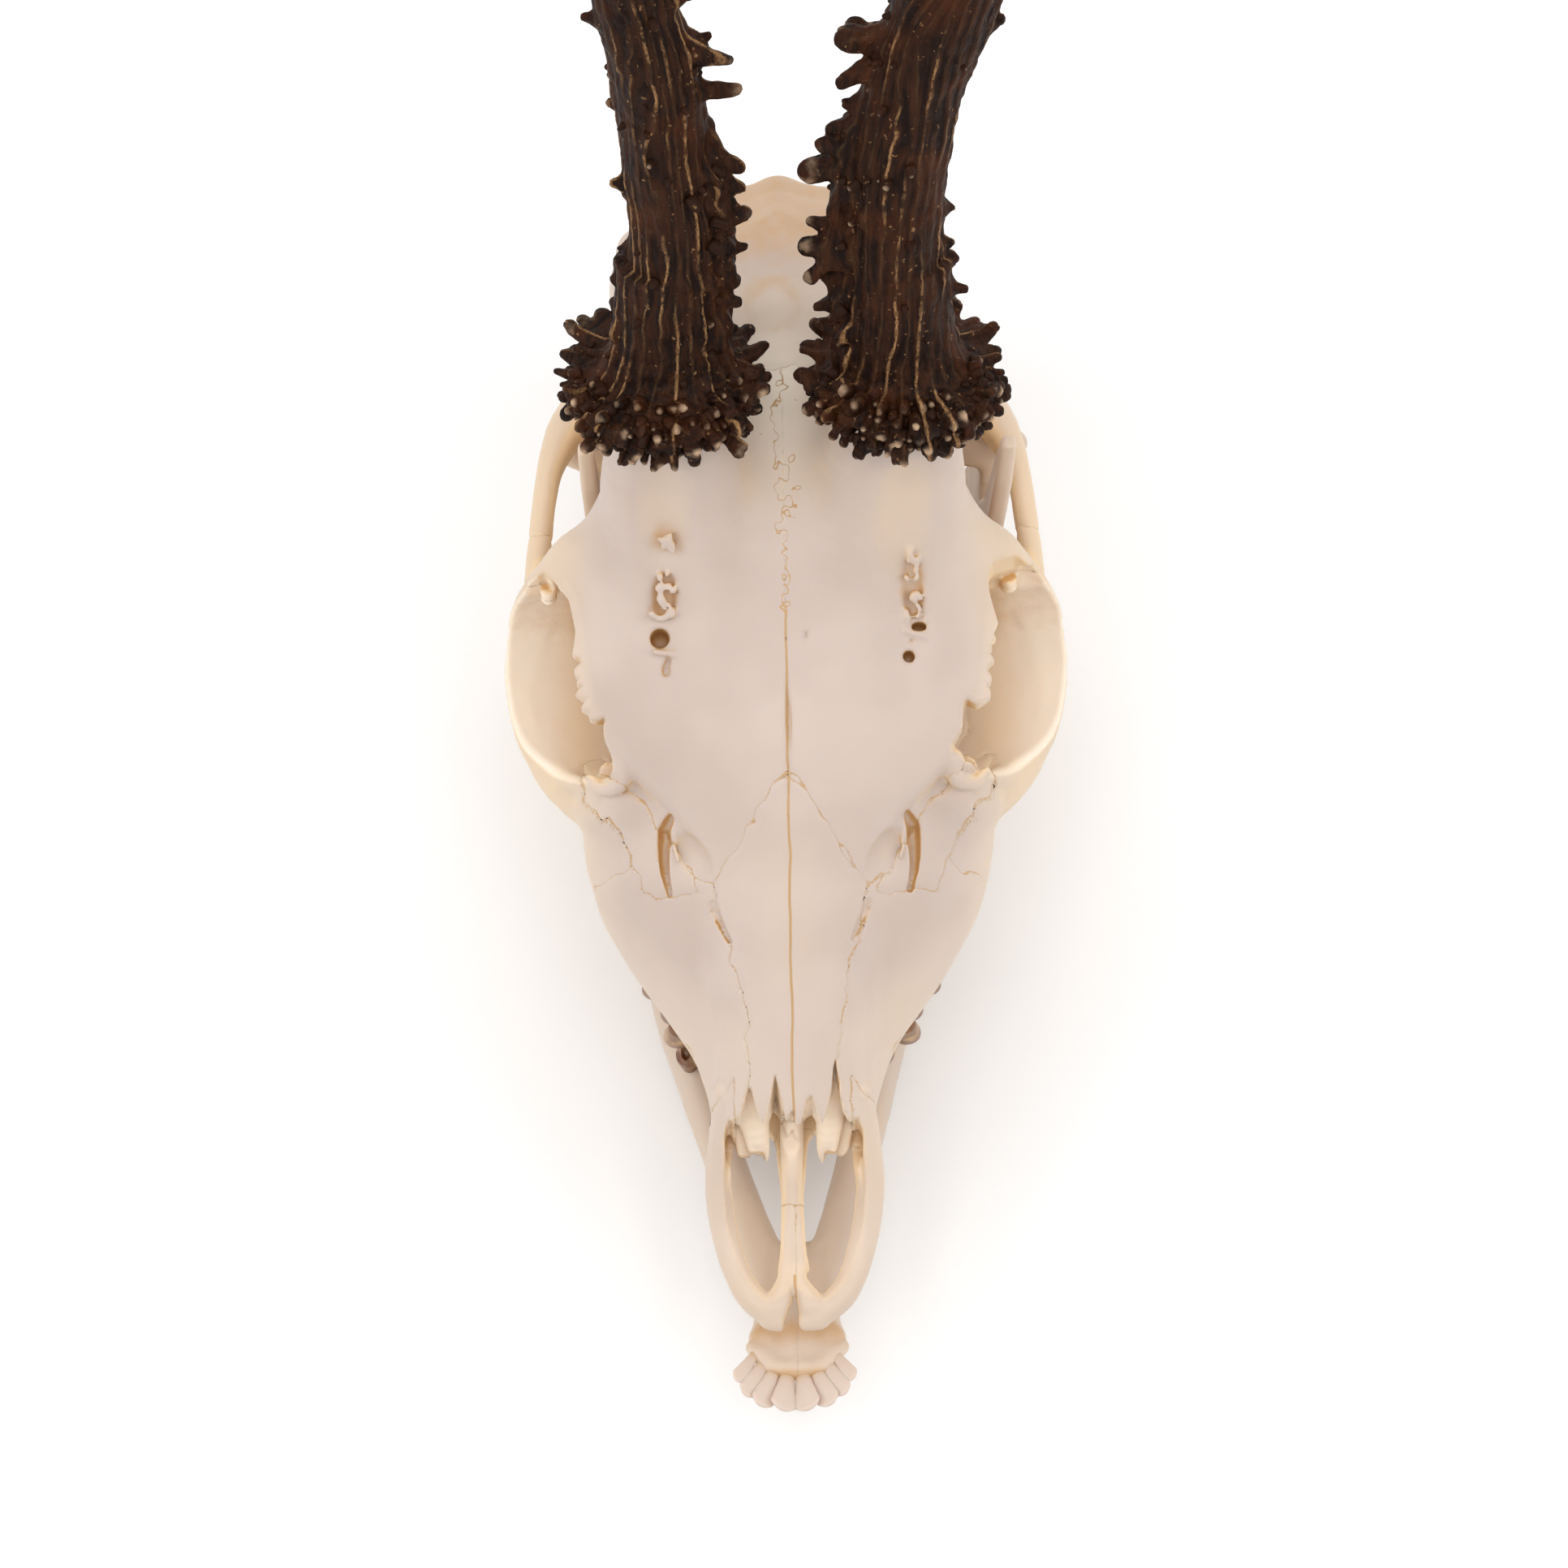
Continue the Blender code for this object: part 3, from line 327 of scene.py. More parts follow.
def gradient(field, points, reach=0.3):
    slopes = []
    for offset in np.eye(3) * reach:
        slopes.append((sample(field, points + offset) - sample(field, points - offset)) / (2 * reach))
    return np.stack(slopes, 1)


def drawTo(field, points, near):
    # moves the points lying near a field's surface onto it
    value = sample(field, points)
    close = np.abs(value) < near
    slope = gradient(field, points[close])
    square = np.maximum((slope ** 2).sum(1), 0.2)
    points[close] -= slope * (value[close] / square)[:, None]
    return close


def skinOf(solid, field, times=1):
    # closed skin of a solid cut from a field, which of its points lie on the field's surface,
    # and the field's slope there
    low = np.array([line[0] for line in solid["axes"]])
    points, quads = mainBody(*skin(solid["d"], low, solid["step"]))
    for _ in range(times):
        outer = drawTo(field, points, 0.9 * solid["step"])
    slope = gradient(field, points)
    slope /= np.linalg.norm(slope, axis=1, keepdims=True) + 1e-9
    return points, quads, outer, slope


def roughen(points, normals, amount=1.0):
    # the unevenness of real bone, in mm
    return points + normals * ((noise(points, 7) * 0.14 + noise(points, 2.6) * 0.05) * amount)[:, None]


def meshOf(name, points, quads):
    mesh = bpy.data.meshes.new(name)
    mesh.vertices.add(len(points))
    mesh.vertices.foreach_set("co", place(points).astype(np.float32).ravel())
    mesh.loops.add(quads.size)
    mesh.loops.foreach_set("vertex_index", quads.astype(np.int32).ravel())
    mesh.polygons.add(len(quads))
    mesh.polygons.foreach_set("loop_start", np.arange(0, quads.size, 4, dtype=np.int32))
    mesh.update(calc_edges=True)
    mesh.validate()
    mesh.shade_smooth()
    return mesh


def normalsOf(mesh):
    flat = np.zeros(len(mesh.vertices) * 3, np.float32)
    mesh.vertex_normals.foreach_get("vector", flat)
    return flat.reshape(-1, 3) @ tilted   # back into the skull frame


def setAttribute(mesh, name, values, kind="FLOAT", domain="POINT"):
    layer = mesh.attributes.new(name, kind, domain)
    layer.data.foreach_set("value" if kind == "FLOAT" else "vector",
                           np.asarray(values, np.float32).ravel())


def addObject(name, mesh):
    piece = bpy.data.objects.new(name, mesh)
    bpy.context.scene.collection.objects.link(piece)
    return piece


socket = {"centre": (38, 102, 35.9), "radii": (21, 14.8, 13.8), "lean": 16}    # the bowl of the eye

# the cranium before it is parted, drawn in this order
cranium = {
    # s, x, half width, top, widest, bottom
    "nose": ("middle", [
        (9, 0, 11.2, 7, 3.5, 0.5), (16, 0, 12.6, 11, 5, 0.5), (24, 0, 13.2, 18, 8, 0.5),
        (31, 0, 12.8, 24, 11, 0.5), (45, 0, 13.4, 31, 15, 0.5), (60, 0, 15.4, 39, 19, 0.5),
        (72, 0, 17.6, 45, 23, 2), (84, 0, 20, 50.4, 27, 4), (96, 0, 21.5, 54.6, 30, 6),
        (112, 0, 21.5, 59, 33, 10), (124, 0, 21, 61, 35, 12)],
     {"upper": 2.2, "lower": 2.6}),
    "cheek": ("middle", [
        (30, 0, 13, 14, 6, 0.5), (38, 0, 14.2, 20, 7, 0), (45, 0, 16.4, 23, 8, 0),
        (50, 0, 19.7, 25, 9, 0), (56, 0, 24.3, 29, 10, 0), (61.5, 0, 28, 33, 11, 0),
        (68.5, 0, 32, 38, 14, 0), (75.5, 0, 33.8, 42, 16, 0), (82.5, 0, 34.6, 45, 19, 0),
        (90, 0, 34.5, 43, 19, 1), (98, 0, 32.5, 30, 12, 1), (107, 0, 29, 22, 9, 1),
        (111, 0, 24, 16, 8, 2)],
     {"upper": 1.9, "lower": 3.6}),
    "forehead": ("middle", [
        (62, 0, 8, 36, 33, 30), (70, 0, 12.4, 43, 38, 33), (78, 0, 18.5, 47.5, 39, 34),
        (84, 0, 25, 50.2, 40, 35), (88, 0, 29.5, 52, 41.5, 36), (93, 0, 32.2, 53.8, 44, 38),
        (98, 0, 34, 55.4, 46, 40), (106, 0, 34.2, 58, 48, 42), (114, 0, 34.6, 60.5, 49.5, 42),
        (121, 0, 34, 62.4, 50.5, 40), (127, 0, 30.5, 63.8, 51, 38), (133, 0, 28.4, 64.9, 49, 32),
        (142, 0, 28.6, 65.2, 44, 25), (150, 0, 28, 63.6, 41, 20)],
     {"upper": 2.0, "lower": 2.6}),
    "braincase": ("middle", [
        (118, 0, 18, 58, 34, 16), (126, 0, 23.5, 62, 35, 12), (134, 0, 27, 64.5, 36, 9),
        (142, 0, 28.8, 66, 37, 8), (150, 0, 29.5, 66.2, 37, 8), (158, 0, 29.4, 65.4, 36, 8),
        (166, 0, 28.6, 63, 34, 8), (174, 0, 27, 59, 31, 8), (180, 0, 25, 53.5, 28, 9),
        (184.5, 0, 22, 47, 25, 10), (188, 0, 17, 39, 22, 12)],
     {"upper": 2.0, "lower": 2.2}),
    "malar": ("pair", ((32, 104, 20.4), (13.6, 20, 7.6)), {"lean": -10}),
    "earBulla": ("pair", ((15, 160, 4), (6, 10, 6.5)), {}),
    "condyle": ("pair", ((9.5, 191, 11), (5.6, 6, 7.5)), {"lean": 20}),
    "nape": ("pair", ((23, 176, 22), (6, 8, 14)), {"blend": 3}),
    "napeSpur": ("pair", [(18, 184, 14, 5), (19, 183, 4, 3.4), (18, 180, -8, 1.8)], {"blend": 2}),
    "pterygoid": ("pair", [(7, 112, 12, 3), (7, 122, 8, 2.4), (8, 132, 12, 3)], {}),
    "earTube": ("pair", [(24, 168, 14, 4), (30, 166, 18, 3.6)], {}),
    "skullBase": ("middle", [(0, 118, 14, 8), (0, 150, 11, 9),
                             (0, 190, 10, 7.5)], {"flat": ((0, 0, 1), 1.7)}),
    "napeRidge": ("middle", [(0, 174, 57, 3), (0, 182.2, 48.2, 3), (0, 186.4, 36, 3)], {"blend": 3}),
    "napeCrest": ("pair", [(0, 182.2, 48.2, 2.8), (14, 182.4, 43, 2.8), (24, 180, 32, 3)], {"blend": 3}),
    "socket": ("pair", (socket["centre"], socket["radii"]), {"lean": -socket["lean"], "cutting": True}),
    "nasalMouth": ("middle", [
        (2, 0, 9.4, 40, 6, 4.4), (10, 0, 10.8, 40, 7, 4.4), (24, 0, 11.8, 40, 9, 4.6),
        (29, 0, 11.4, 40, 10, 4.6)],
     {"upper": 5, "lower": 3.5, "blend": 1.6, "cutting": True}),
    "nasalCavity": ("middle", [
        (26, 0, 10, 20.5, 11, 4.6), (34, 0, 9.6, 22, 12, 4.6), (46, 0, 8.6, 25, 14, 6),
        (58, 0, 6, 26, 17, 9)],
     {"upper": 2.6, "lower": 2.6, "blend": 0.5, "cutting": True}),
    "palateFissure": ("pair", [
        (4.4, 4.6, 2, 0.8), (4.9, 7, 2, 1.7), (5.4, 9.8, 2, 2.7), (5.8, 14, 2, 3.9), (6.4, 22, 2, 4.4),
        (6.2, 30, 2, 3.6)], {"shift": -0.4, "flat": ((0, 0, 1), 0.33), "cutting": True}),
    "nerveOpening": ("middle", [(0, 202, 20, 7.5), (0, 182, 20, 6.5)], {"cutting": True}),
    "throat": ("middle", [(0, 126, -2, 6), (0, 112, 3, 6), (0, 103, 4, 4)], {"cutting": True}),
    "palateVault": ("middle", [
        (42, 0, 7, 2.2, 0, -4), (60, 0, 11, 3.5, 0, -4), (80, 0, 14, 4.5, 0, -4),
        (100, 0, 15.5, 4.5, 0, -4), (108, 0, 15, 3, 0, -4)],
     {"upper": 2.4, "lower": 4, "cutting": True}),
    # x, s, z, radius
    "cheekFill": ("pair", [
        (39.6, 96, 18.5, 3.6), (35.8, 90, 20, 4.2), (32, 85.6, 22.6, 4.2), (30.2, 83.4, 27.5, 4.4),
        (27, 82.8, 33.5, 4.2)],
     {"blend": 3.5}),
    "orbitRim": ("pair", [   # from the back corner round the bottom to the front notch
        (36.8, 116.6, 46.2, 2.4), (40, 116.4, 40.6, 2.3), (42.8, 114.6, 33.6, 2.2),
        (44.4, 111, 27.4, 2.1), (44.9, 104.6, 23.8, 2.1), (42.6, 96, 23.2, 2.1), (37.6, 90, 24.8, 2.0),
        (34.2, 87.4, 28.6, 2.0), (30.2, 85.8, 34, 1.8), (28.8, 86.8, 40, 2.2)], {"blend": 2}),
    "arch": ("pair", [
        (34.6, 86, 20, 2.6), (39.8, 94, 18.4, 2.8), (42.2, 104, 18.8, 2.9), (41.8, 113, 22, 2.7),
        (41.6, 124, 24.4, 2.1), (40.8, 134, 25, 1.9), (39.4, 144, 24, 2.1), (36, 152, 23, 3.2),
        (30, 158, 23, 4)],
     {"blend": 2}),
    "archEdge": ("pair", [
        (39.6, 94, 15, 2.52), (42, 104, 15.4, 2.61), (41.6, 113, 18.6, 2.43), (41.4, 124, 21, 1.89),
        (40.6, 134, 21.6, 1.71), (39.2, 144, 20.6, 1.89), (35.8, 152, 19.6, 2.88)], {"blend": 2}),
    "backBar": ("pair", [    # broad plate behind the eye
        (29, 121.5, 52, 4.6), (34, 120, 49.6, 4.0), (37.8, 118.6, 44.5, 3.0), (40.3, 117.4, 37, 2.7),
        (42, 115.6, 29, 2.6)],
     {"blend": 2.5}),
    "backWall": ("pair", [   # inner wall of the socket, hidden under the roof
        (29, 119, 47, 3.0), (32, 119.2, 41, 3.0), (34.4, 118.6, 34, 3.2), (36, 117.8, 27, 3.6),
        (35, 117, 20, 3.6)],
     {"blend": 2.5}),
    "outerWall": ("pair", [
        (36, 118.4, 40, 3), (39.4, 116.4, 35, 3.6), (42, 112.6, 30, 3.6),
        (43, 108, 27, 3)], {"blend": 2.5}),
    "muzzle": ("pair", [     # side of the premaxilla
        (3.2, 1.8, 2.2, 2.2), (7.2, 4.6, 2.8, 2.4), (10, 9.5, 3.4, 2.2), (12, 17, 4.6, 2.2),
        (12.7, 24, 8, 2.2), (12.2, 30, 13.5, 2.2), (11.4, 36, 18.5, 2)],
     {"blend": 1}),
    "pedicle": ("pair", [
        (16, 122, 52, 14), (17.2, 128, 61, 12.6), (18.4, 134, 70, 10.4), (19.2, 138.2, 77, 10)],
     {"blend": 5}),
    "corner": ("pair", [
        (32, 116.6, 49.6, 3.2), (36, 116.2, 46.8, 3.2), (39, 115.6, 42, 3.0), (40.6, 115.2, 36, 2.9),
        (42, 114.4, 31, 2.7)],
     {"blend": 2.5}),
    # the bowl of the eye socket, sharp-rimmed outside and undercut behind
    "bowl": ("pair", (socket["centre"], socket["radii"]),
             {"lean": -socket["lean"], "blend": 0.9, "cutting": True}),
    "bowlFloor": ("pair", ((30, 101.5, 32), (10.5, 12, 12)), {"blend": 5, "cutting": True}),
    "undercutLeft": ("left", ((-39, 110, 43), (7, 8, 7)), {"blend": 1, "cutting": True}),
    "undercutRight": ("right", ((39, 110.8, 43), (7, 8, 7)), {"blend": 1, "cutting": True}),
    "shelf": ("pair", [      # thin roof over the eye
        (26.6, 85.4, 38.2, 2.2), (28.4, 89, 42, 2.6), (31, 93, 45.2, 3), (32.4, 98.6, 47.4, 3.6),
        (32.4, 105, 48.4, 3.6), (32.2, 110.6, 49.0, 3.4), (33, 114, 49.4, 3.2)],
     {"blend": 1.4, "flat": ((-0.3, 0.1, 0.94), 2.6)}),
    "knobLeft": ("left", [(-39, 117.4, 43.4, 1.5), (-39, 115.6, 40.8, 1.4)], {"blend": 1.4}),
    "knobRight": ("right", [(37, 118.2, 43.4, 1.5), (37, 116.4, 40.8, 1.4)], {"blend": 1.4}),
    # slender bars of the premaxillae, and the vomer between them and the roof
    "barLeft": ("left", [
        (-1.01, 24, 5.2, 0.7), (-1.35, 17, 4.2, 0.95), (-1.485, 11, 3.6, 1.05), (-2.025, 7.4, 3.3, 1.4),
        (-3.2, 3.4, 3, 2.4)], {"blend": 0.8}),
    "barRight": ("right", [
        (0.01, 24, 5.2, 0.7), (0.35, 17, 4.2, 0.95), (0.385, 11, 3.6, 1.05), (0.525, 7.4, 3.3, 1.4),
        (2.4, 3.4, 3, 2.4)], {"blend": 0.8}),
    "vomer": ("middle", [
        (-0.3, 56, 18, 1.4), (-0.3, 42, 12.5, 1.6), (-0.4, 31, 8.2, 2.0), (-0.45, 25, 6, 1.8),
        (-0.5, 19, 4.2, 1.5), (-0.5, 13, 3.2, 1.1), (-0.5, 8, 2.8, 0.9)], {"blend": 0.8}),
    "tipLeft": ("left", [(-4.4, 1.4, 2.2, 1.9), (-2.2, 0.9, 2.2, 1.7)], {"blend": 0.8}),
    "tipRight": ("right", [(3.6, 1.3, 2.2, 1.9), (1.6, 0.9, 2.2, 1.7)], {"blend": 0.8}),
    "thinBones": ("middle", ((0, 43, 15), (9.5, 10.5, 11.5)), {"blend": 1.5}),   # close the nose off
}


def craniumField():
    field = newField(*grid["craniumBox"], grid["bone"])
    drawShapes(field, cranium.values())
    return field


cutOut = {"cutting": True}
flatUp = ((0, 0, 1), 0.4)

details = {
    "roofOpening": {   # the notched front of the roof, seen from above: x, s
        "right": [(0, 18), (0, 30.8), (0.9, 29.5), (2.1, 33.4), (2.9, 34.2), (3.6, 32.4), (4.6, 29.7),
                  (5.5, 32.2), (6.4, 35.6), (6.8, 41), (7.2, 36), (8.1, 32.4), (9.3, 30.9),
                  (10.6, 31.8), (11.4, 30), (11.4, 18)],
        "left": [(0, 18), (0, 31.8), (0.5, 31.6), (1.1, 30.4), (2.2, 34.2), (2.9, 37.4), (3.6, 34.6),
                 (4.3, 31.6), (5.1, 29.7), (6.3, 33.2), (7.0, 35.8), (7.6, 35.2), (8.6, 32.4),
                 (9.6, 31), (10.8, 31.8), (11.4, 30), (11.4, 18)],
    },
    "notch": [(-2.5, -8), (-2.5, -0.6), (-2.2, 1.2), (-1.7, 2.1), (-1.2, 3.4), (-0.6, 2.2),
              (0.1, 1.4), (0.1, -0.6), (0.9, -0.9), (0.9, -8)],
    "overEye": {       # jagged outer edge of the roof over the eye: x, s
        "left": [(39.6, 117.8), (37.4, 115.3), (36.7, 113.2), (35.4, 112.4), (34.9, 110.1), (34.4, 106.9),
                 (34.6, 104.7), (35, 102.8), (33.2, 102), (34.7, 100.5), (34.6, 99.6), (33.7, 98.9),
                 (34.7, 98.3), (33.4, 97.7), (34.6, 96.4), (32.8, 95.5), (33.8, 94.2), (32.3, 93.5),
                 (32.5, 92.6), (31.2, 92.4), (29.6, 93), (30.2, 91.6), (29.9, 90), (29, 88.2),
                 (28.2, 86.8), (27, 85)],
        "right": [(38, 118.4), (36, 117.4), (34.2, 116.6), (33.4, 114.6), (33.5, 112.4), (34.4, 108.9),
                  (34.9, 107.1), (34.1, 105.5), (34.6, 104.2), (33.4, 103.6), (34.1, 102.8),
                  (33.2, 102.3), (34.2, 100.9), (32.7, 99.7), (33.6, 98.2), (33.4, 97.1), (32.6, 96.9),
                  (33.4, 96), (33.3, 95), (32.2, 94.3), (31.2, 93.9), (29.3, 94.7), (28.8, 93.8),
                  (28.7, 91), (27.9, 89.7), (26.8, 88.2), (26.4, 86)],
    },
    "roofBeyond": [(60, 86), (60, 110)],
    "roofDepth": ((85, 88, 92, 98, 108, 114, 118), (37.5, 38, 40, 43.5, 44, 44, 42)),   # along s: z
    "edges": [
        # lacrimal hook and the pit below it
        ("pair", [(27, 86.4, 41.2, 1.8), (27.6, 83.6, 39.8, 1.5), (30.6, 83.2, 38.2, 1.2),
                  (32.6, 85.2, 37.8, 0.8)], {}),
        ("pair", ((31.6, 82.6, 35.6), (1.2, 0.7, 1.2)), {"lean": 30, "blend": 1, **cutOut}),
        # gap beside the nasal bone, and the long one in front of the eye
        ("pair", [(13, 64, 35, 0.9), (11.7, 61.6, 34.2, 0.6), (10, 58.2, 33.6, 0.25)],
         {"blend": 0.2, "flat": ((0, 0, 1), 0.35), **cutOut}),
        ("pair", [(19.4, 78.2, 37.4, 0.7), (20.3, 76.6, 36.4, 1.05), (20.6, 73.8, 34.4, 0.95),
                  (20.5, 70.6, 32.2, 0.7),
                  (19.8, 67.2, 30.6, 0.4)], {"blend": 0.3, "flat": flatUp, **cutOut}),
        ("pair", ((16.6, 70, 37.4), (3.2, 5.2, 2.6)), {"lean": 30, "blend": 2, **cutOut}),
        ("pair", [(18.9, 76, 36.8, 0.5), (18.7, 73.6, 36, 0.55), (18.2, 71.4, 35.4, 0.45)], {"blend": 0.4}),
        # holes inside the eye socket, and its nerve canal
        ("pair", [(26, 111, 34, 2.4), (20, 118, 32, 2.2)], {"blend": 0.8, **cutOut}),
        ("pair", [(26, 104, 27, 1.2), (21, 106, 25, 1)], {"blend": 0.5, **cutOut}),
        ("pair", [(29, 90, 34, 1.1), (25, 86, 31, 1)], {"blend": 0.5, **cutOut}),
        # hole for the nerve of the lip
        ("pair", [(18.6, 44.6, 7.4, 1.3), (14.6, 48, 9, 1.1)], {"blend": 0.6, **cutOut})],
    # the row of pits over each eye; the two sides differ
    "pits": [
        ("pair", [(20, 121, 74.2, 4.5), (20, 113, 66.3, 4.5), (20.2, 105, 59.6, 4.5), (20.6, 97, 57.1, 4.2),
                  (21.4, 89, 54.4, 3.4)], {"blend": 3, **cutOut}),
        ("left", [(-20, 119.4, 69.2, 0.8), (-19.5, 117.8, 66.8, 1.8), (-19.2, 116, 65, 1.3)],
         {"blend": 0.8, **cutOut}),
        ("left", ((-18.2, 115, 64.4), (0.6, 0.9, 1.6)), {"blend": 0.3, **cutOut}),
        ("left", [(-19.2, 113.2, 61.6, 0.5), (-19.5, 110.9, 58.9, 1.8), (-19.8, 108.4, 56.8, 1.7)],
         {"blend": 0.9, **cutOut}),
        ("right", [(20.3, 118.4, 68.2, 0.5), (20.5, 116, 65, 0.9), (20.7, 113.4, 61.6, 1.4),
                   (20.9, 110.4, 58, 1.8), (21.1, 107, 56, 1.6)], {"blend": 0.8, **cutOut})],
    # small bridges of bone in them: x, s, z, half width, half length, how many
    "bridges": [(-19.4, 116.8, 65.8, 1.4, 1.3, 16), (-19.4, 110.2, 58.6, 1.5, 3.0, 26),
                (20.7, 112.4, 60.4, 0.9, 3.4, 22), (20.9, 107.8, 56, 1.2, 2.2, 18)],
    "bridgeRise": 0.66, "bridgeRadius": (0.36, 0.68),
    "holes": [
        ("left", [(-21.8, 107.2, 57.4, 0.6), (-20.4, 106.6, 56.4, 0.6),
                  (-18.6, 107.2, 56.8, 0.6)], {"blend": 1}),
        ("left", [(-20.5, 103.7, 57, 1.5), (-20.5, 104.4, 50, 1.5)], {"blend": 0.5, **cutOut}),
        ("left", [(-21.4, 101.6, 54.4, 0.5), (-18.2, 101.2, 54.2, 0.5)], {"blend": 0.8}),
        ("left", ((-19.6, 98.9, 53), (0.7, 1.2, 1.2)), {"blend": 0.5, **cutOut}),
        ("left", ((-19.2, 100.4, 53.4), (0.5, 0.6, 1.2)), {"blend": 0.3, **cutOut}),
        ("right", [(21.8, 105, 57, 0.6), (21.7, 105.4, 51, 0.8)],
         {"blend": 0.3, "flat": ((1, 0, 0), 0.6), **cutOut}),
        ("right", [(19.4, 104.4, 54.6, 0.4), (22.8, 103.6, 54, 0.6)], {"blend": 0.6}),
        ("right", ((20.5, 103, 54.4), (0.45, 0.5, 1.2)), {"blend": 0.3, **cutOut}),
        ("right", [(20, 100.2, 56.5, 0.95), (20, 100.8, 50, 0.95)], {"blend": 0.5, **cutOut}),
        ("right", ((15.7, 116.1, 66.2), (0.4, 0.7, 1.4)), {"blend": 0.3, **cutOut}),
        ("right", ((3.3, 103.1, 57.3), (0.25, 0.9, 0.7)), {"blend": 0.3, **cutOut}),
        # the seam at the root of the nose stands open
        ("middle", [(0, 97, 55.6, 0.2), (0.2, 91, 53.2, 0.42), (0.2, 84, 51.2, 0.45), (0, 79, 49, 0.25)],
         {"blend": 0.5, "flat": ((0, 0, 1), 0.5), **cutOut}),
        # vessel grooves on the forehead
        ("left", [(-8.6, 89.4, 52.8, 0.25), (-6.4, 87, 52.2, 0.4), (-4.4, 83.6, 51.2, 0.2)],
         {"blend": 0.6, **cutOut}),
        ("right", [(12.4, 91, 52.7, 0.25), (11.6, 88, 52.1, 0.4), (10, 84, 50.9, 0.2)],
         {"blend": 0.6, **cutOut})],
    # scrolls inside the nose, and the low porous boss on the back of the head
    "scrolls": [
        ("left", [(-7, 40, 17, 2.8), (-6.6, 33, 14, 2.6), (-5.9, 28, 11.2, 1.9), (-5.6, 26, 9.8, 1.0)],
         {"blend": 1.5, "flat": ((0.3, 0, 1), 1.6)}),
        ("left", [(-8.8, 36, 12, 2), (-8.6, 30, 10, 1.8), (-8.2, 27, 8.8, 1.1)],
         {"blend": 1.5, "flat": ((0.5, 0, 1), 1.6)}),
        ("right", [(6.4, 40, 17, 2.8), (6, 33, 14, 2.4), (5.5, 28.4, 11.4, 1.8), (5.2, 26.2, 10, 0.9)],
         {"blend": 1.5, "flat": ((-0.3, 0, 1), 1.6)}),
        ("right", [(8.4, 36, 12, 2), (8.2, 30.6, 10, 1.7), (7.8, 28, 9, 1.0)],
         {"blend": 1.5, "flat": ((-0.5, 0, 1), 1.6)}),
        ("middle", ((-0.2, 157.3, 62.6), (4.4, 4.6, 3.6)), {"blend": 3})],
}


def cutOutline(field, side, low, high, outline, floor, blend):
    # cuts a sheer outline, seen from above, down to a floor that may change along s
    cut, x, s, z = window(field, low, high)
    shape = polygonDistance(side * x[:, :, 0], s[:, :, 0], outline)[:, :, None]
    depth = np.interp(s, *floor).astype(np.float32)
    merge(field, cut, np.maximum(shape, depth - z), blend, cutting=True)


def carveDetails(field):
    for label, side in sides.items():
        # the notched edge of the roof over the nose, and the jagged one over the eye
        cut, x, s, z = window(field, (-12.5, 15, 8), (12.5, 45, 30))
        outline = polygonDistance(side * x[:, :, 0], s[:, :, 0], details["roofOpening"][label])
        shape = np.maximum(np.maximum(outline[:, :, None], -side * x), 9 - z)
        merge(field, cut, shape, 0.25, cutting=True)
        cutOutline(field, side, (24, 84, 36) if side > 0 else (-42, 84, 36),
                   (42, 121, 54) if side > 0 else (-24, 121, 54),
                   details["overEye"][label] + details["roofBeyond"], details["roofDepth"], 0.3)
    drawShapes(field, details["edges"] + details["pits"])
    rng = np.random.default_rng(8)
    bridges = []
    for x0, s0, z0, wide, long, count in details["bridges"]:
        for _ in range(count):
            along = long * rng.uniform(-1, 1)
            bridges.append((x0 + rng.uniform(-wide, wide), s0 + along, z0 + details["bridgeRise"] * along,
                            rng.uniform(*details["bridgeRadius"])))
    for number, (x, s, z, r) in enumerate(bridges):
        ball(field, (x, s, z), (r, r * 1.4, r), blend=0.5, cutting=number % 3 == 2)
    drawShapes(field, details["holes"])
    cutOutline(field, 1, (-4, -6, -4), (3, 6, 12), details["notch"], ((0, 1), (-20, -20)), 0.3)
    drawShapes(field, details["scrolls"])


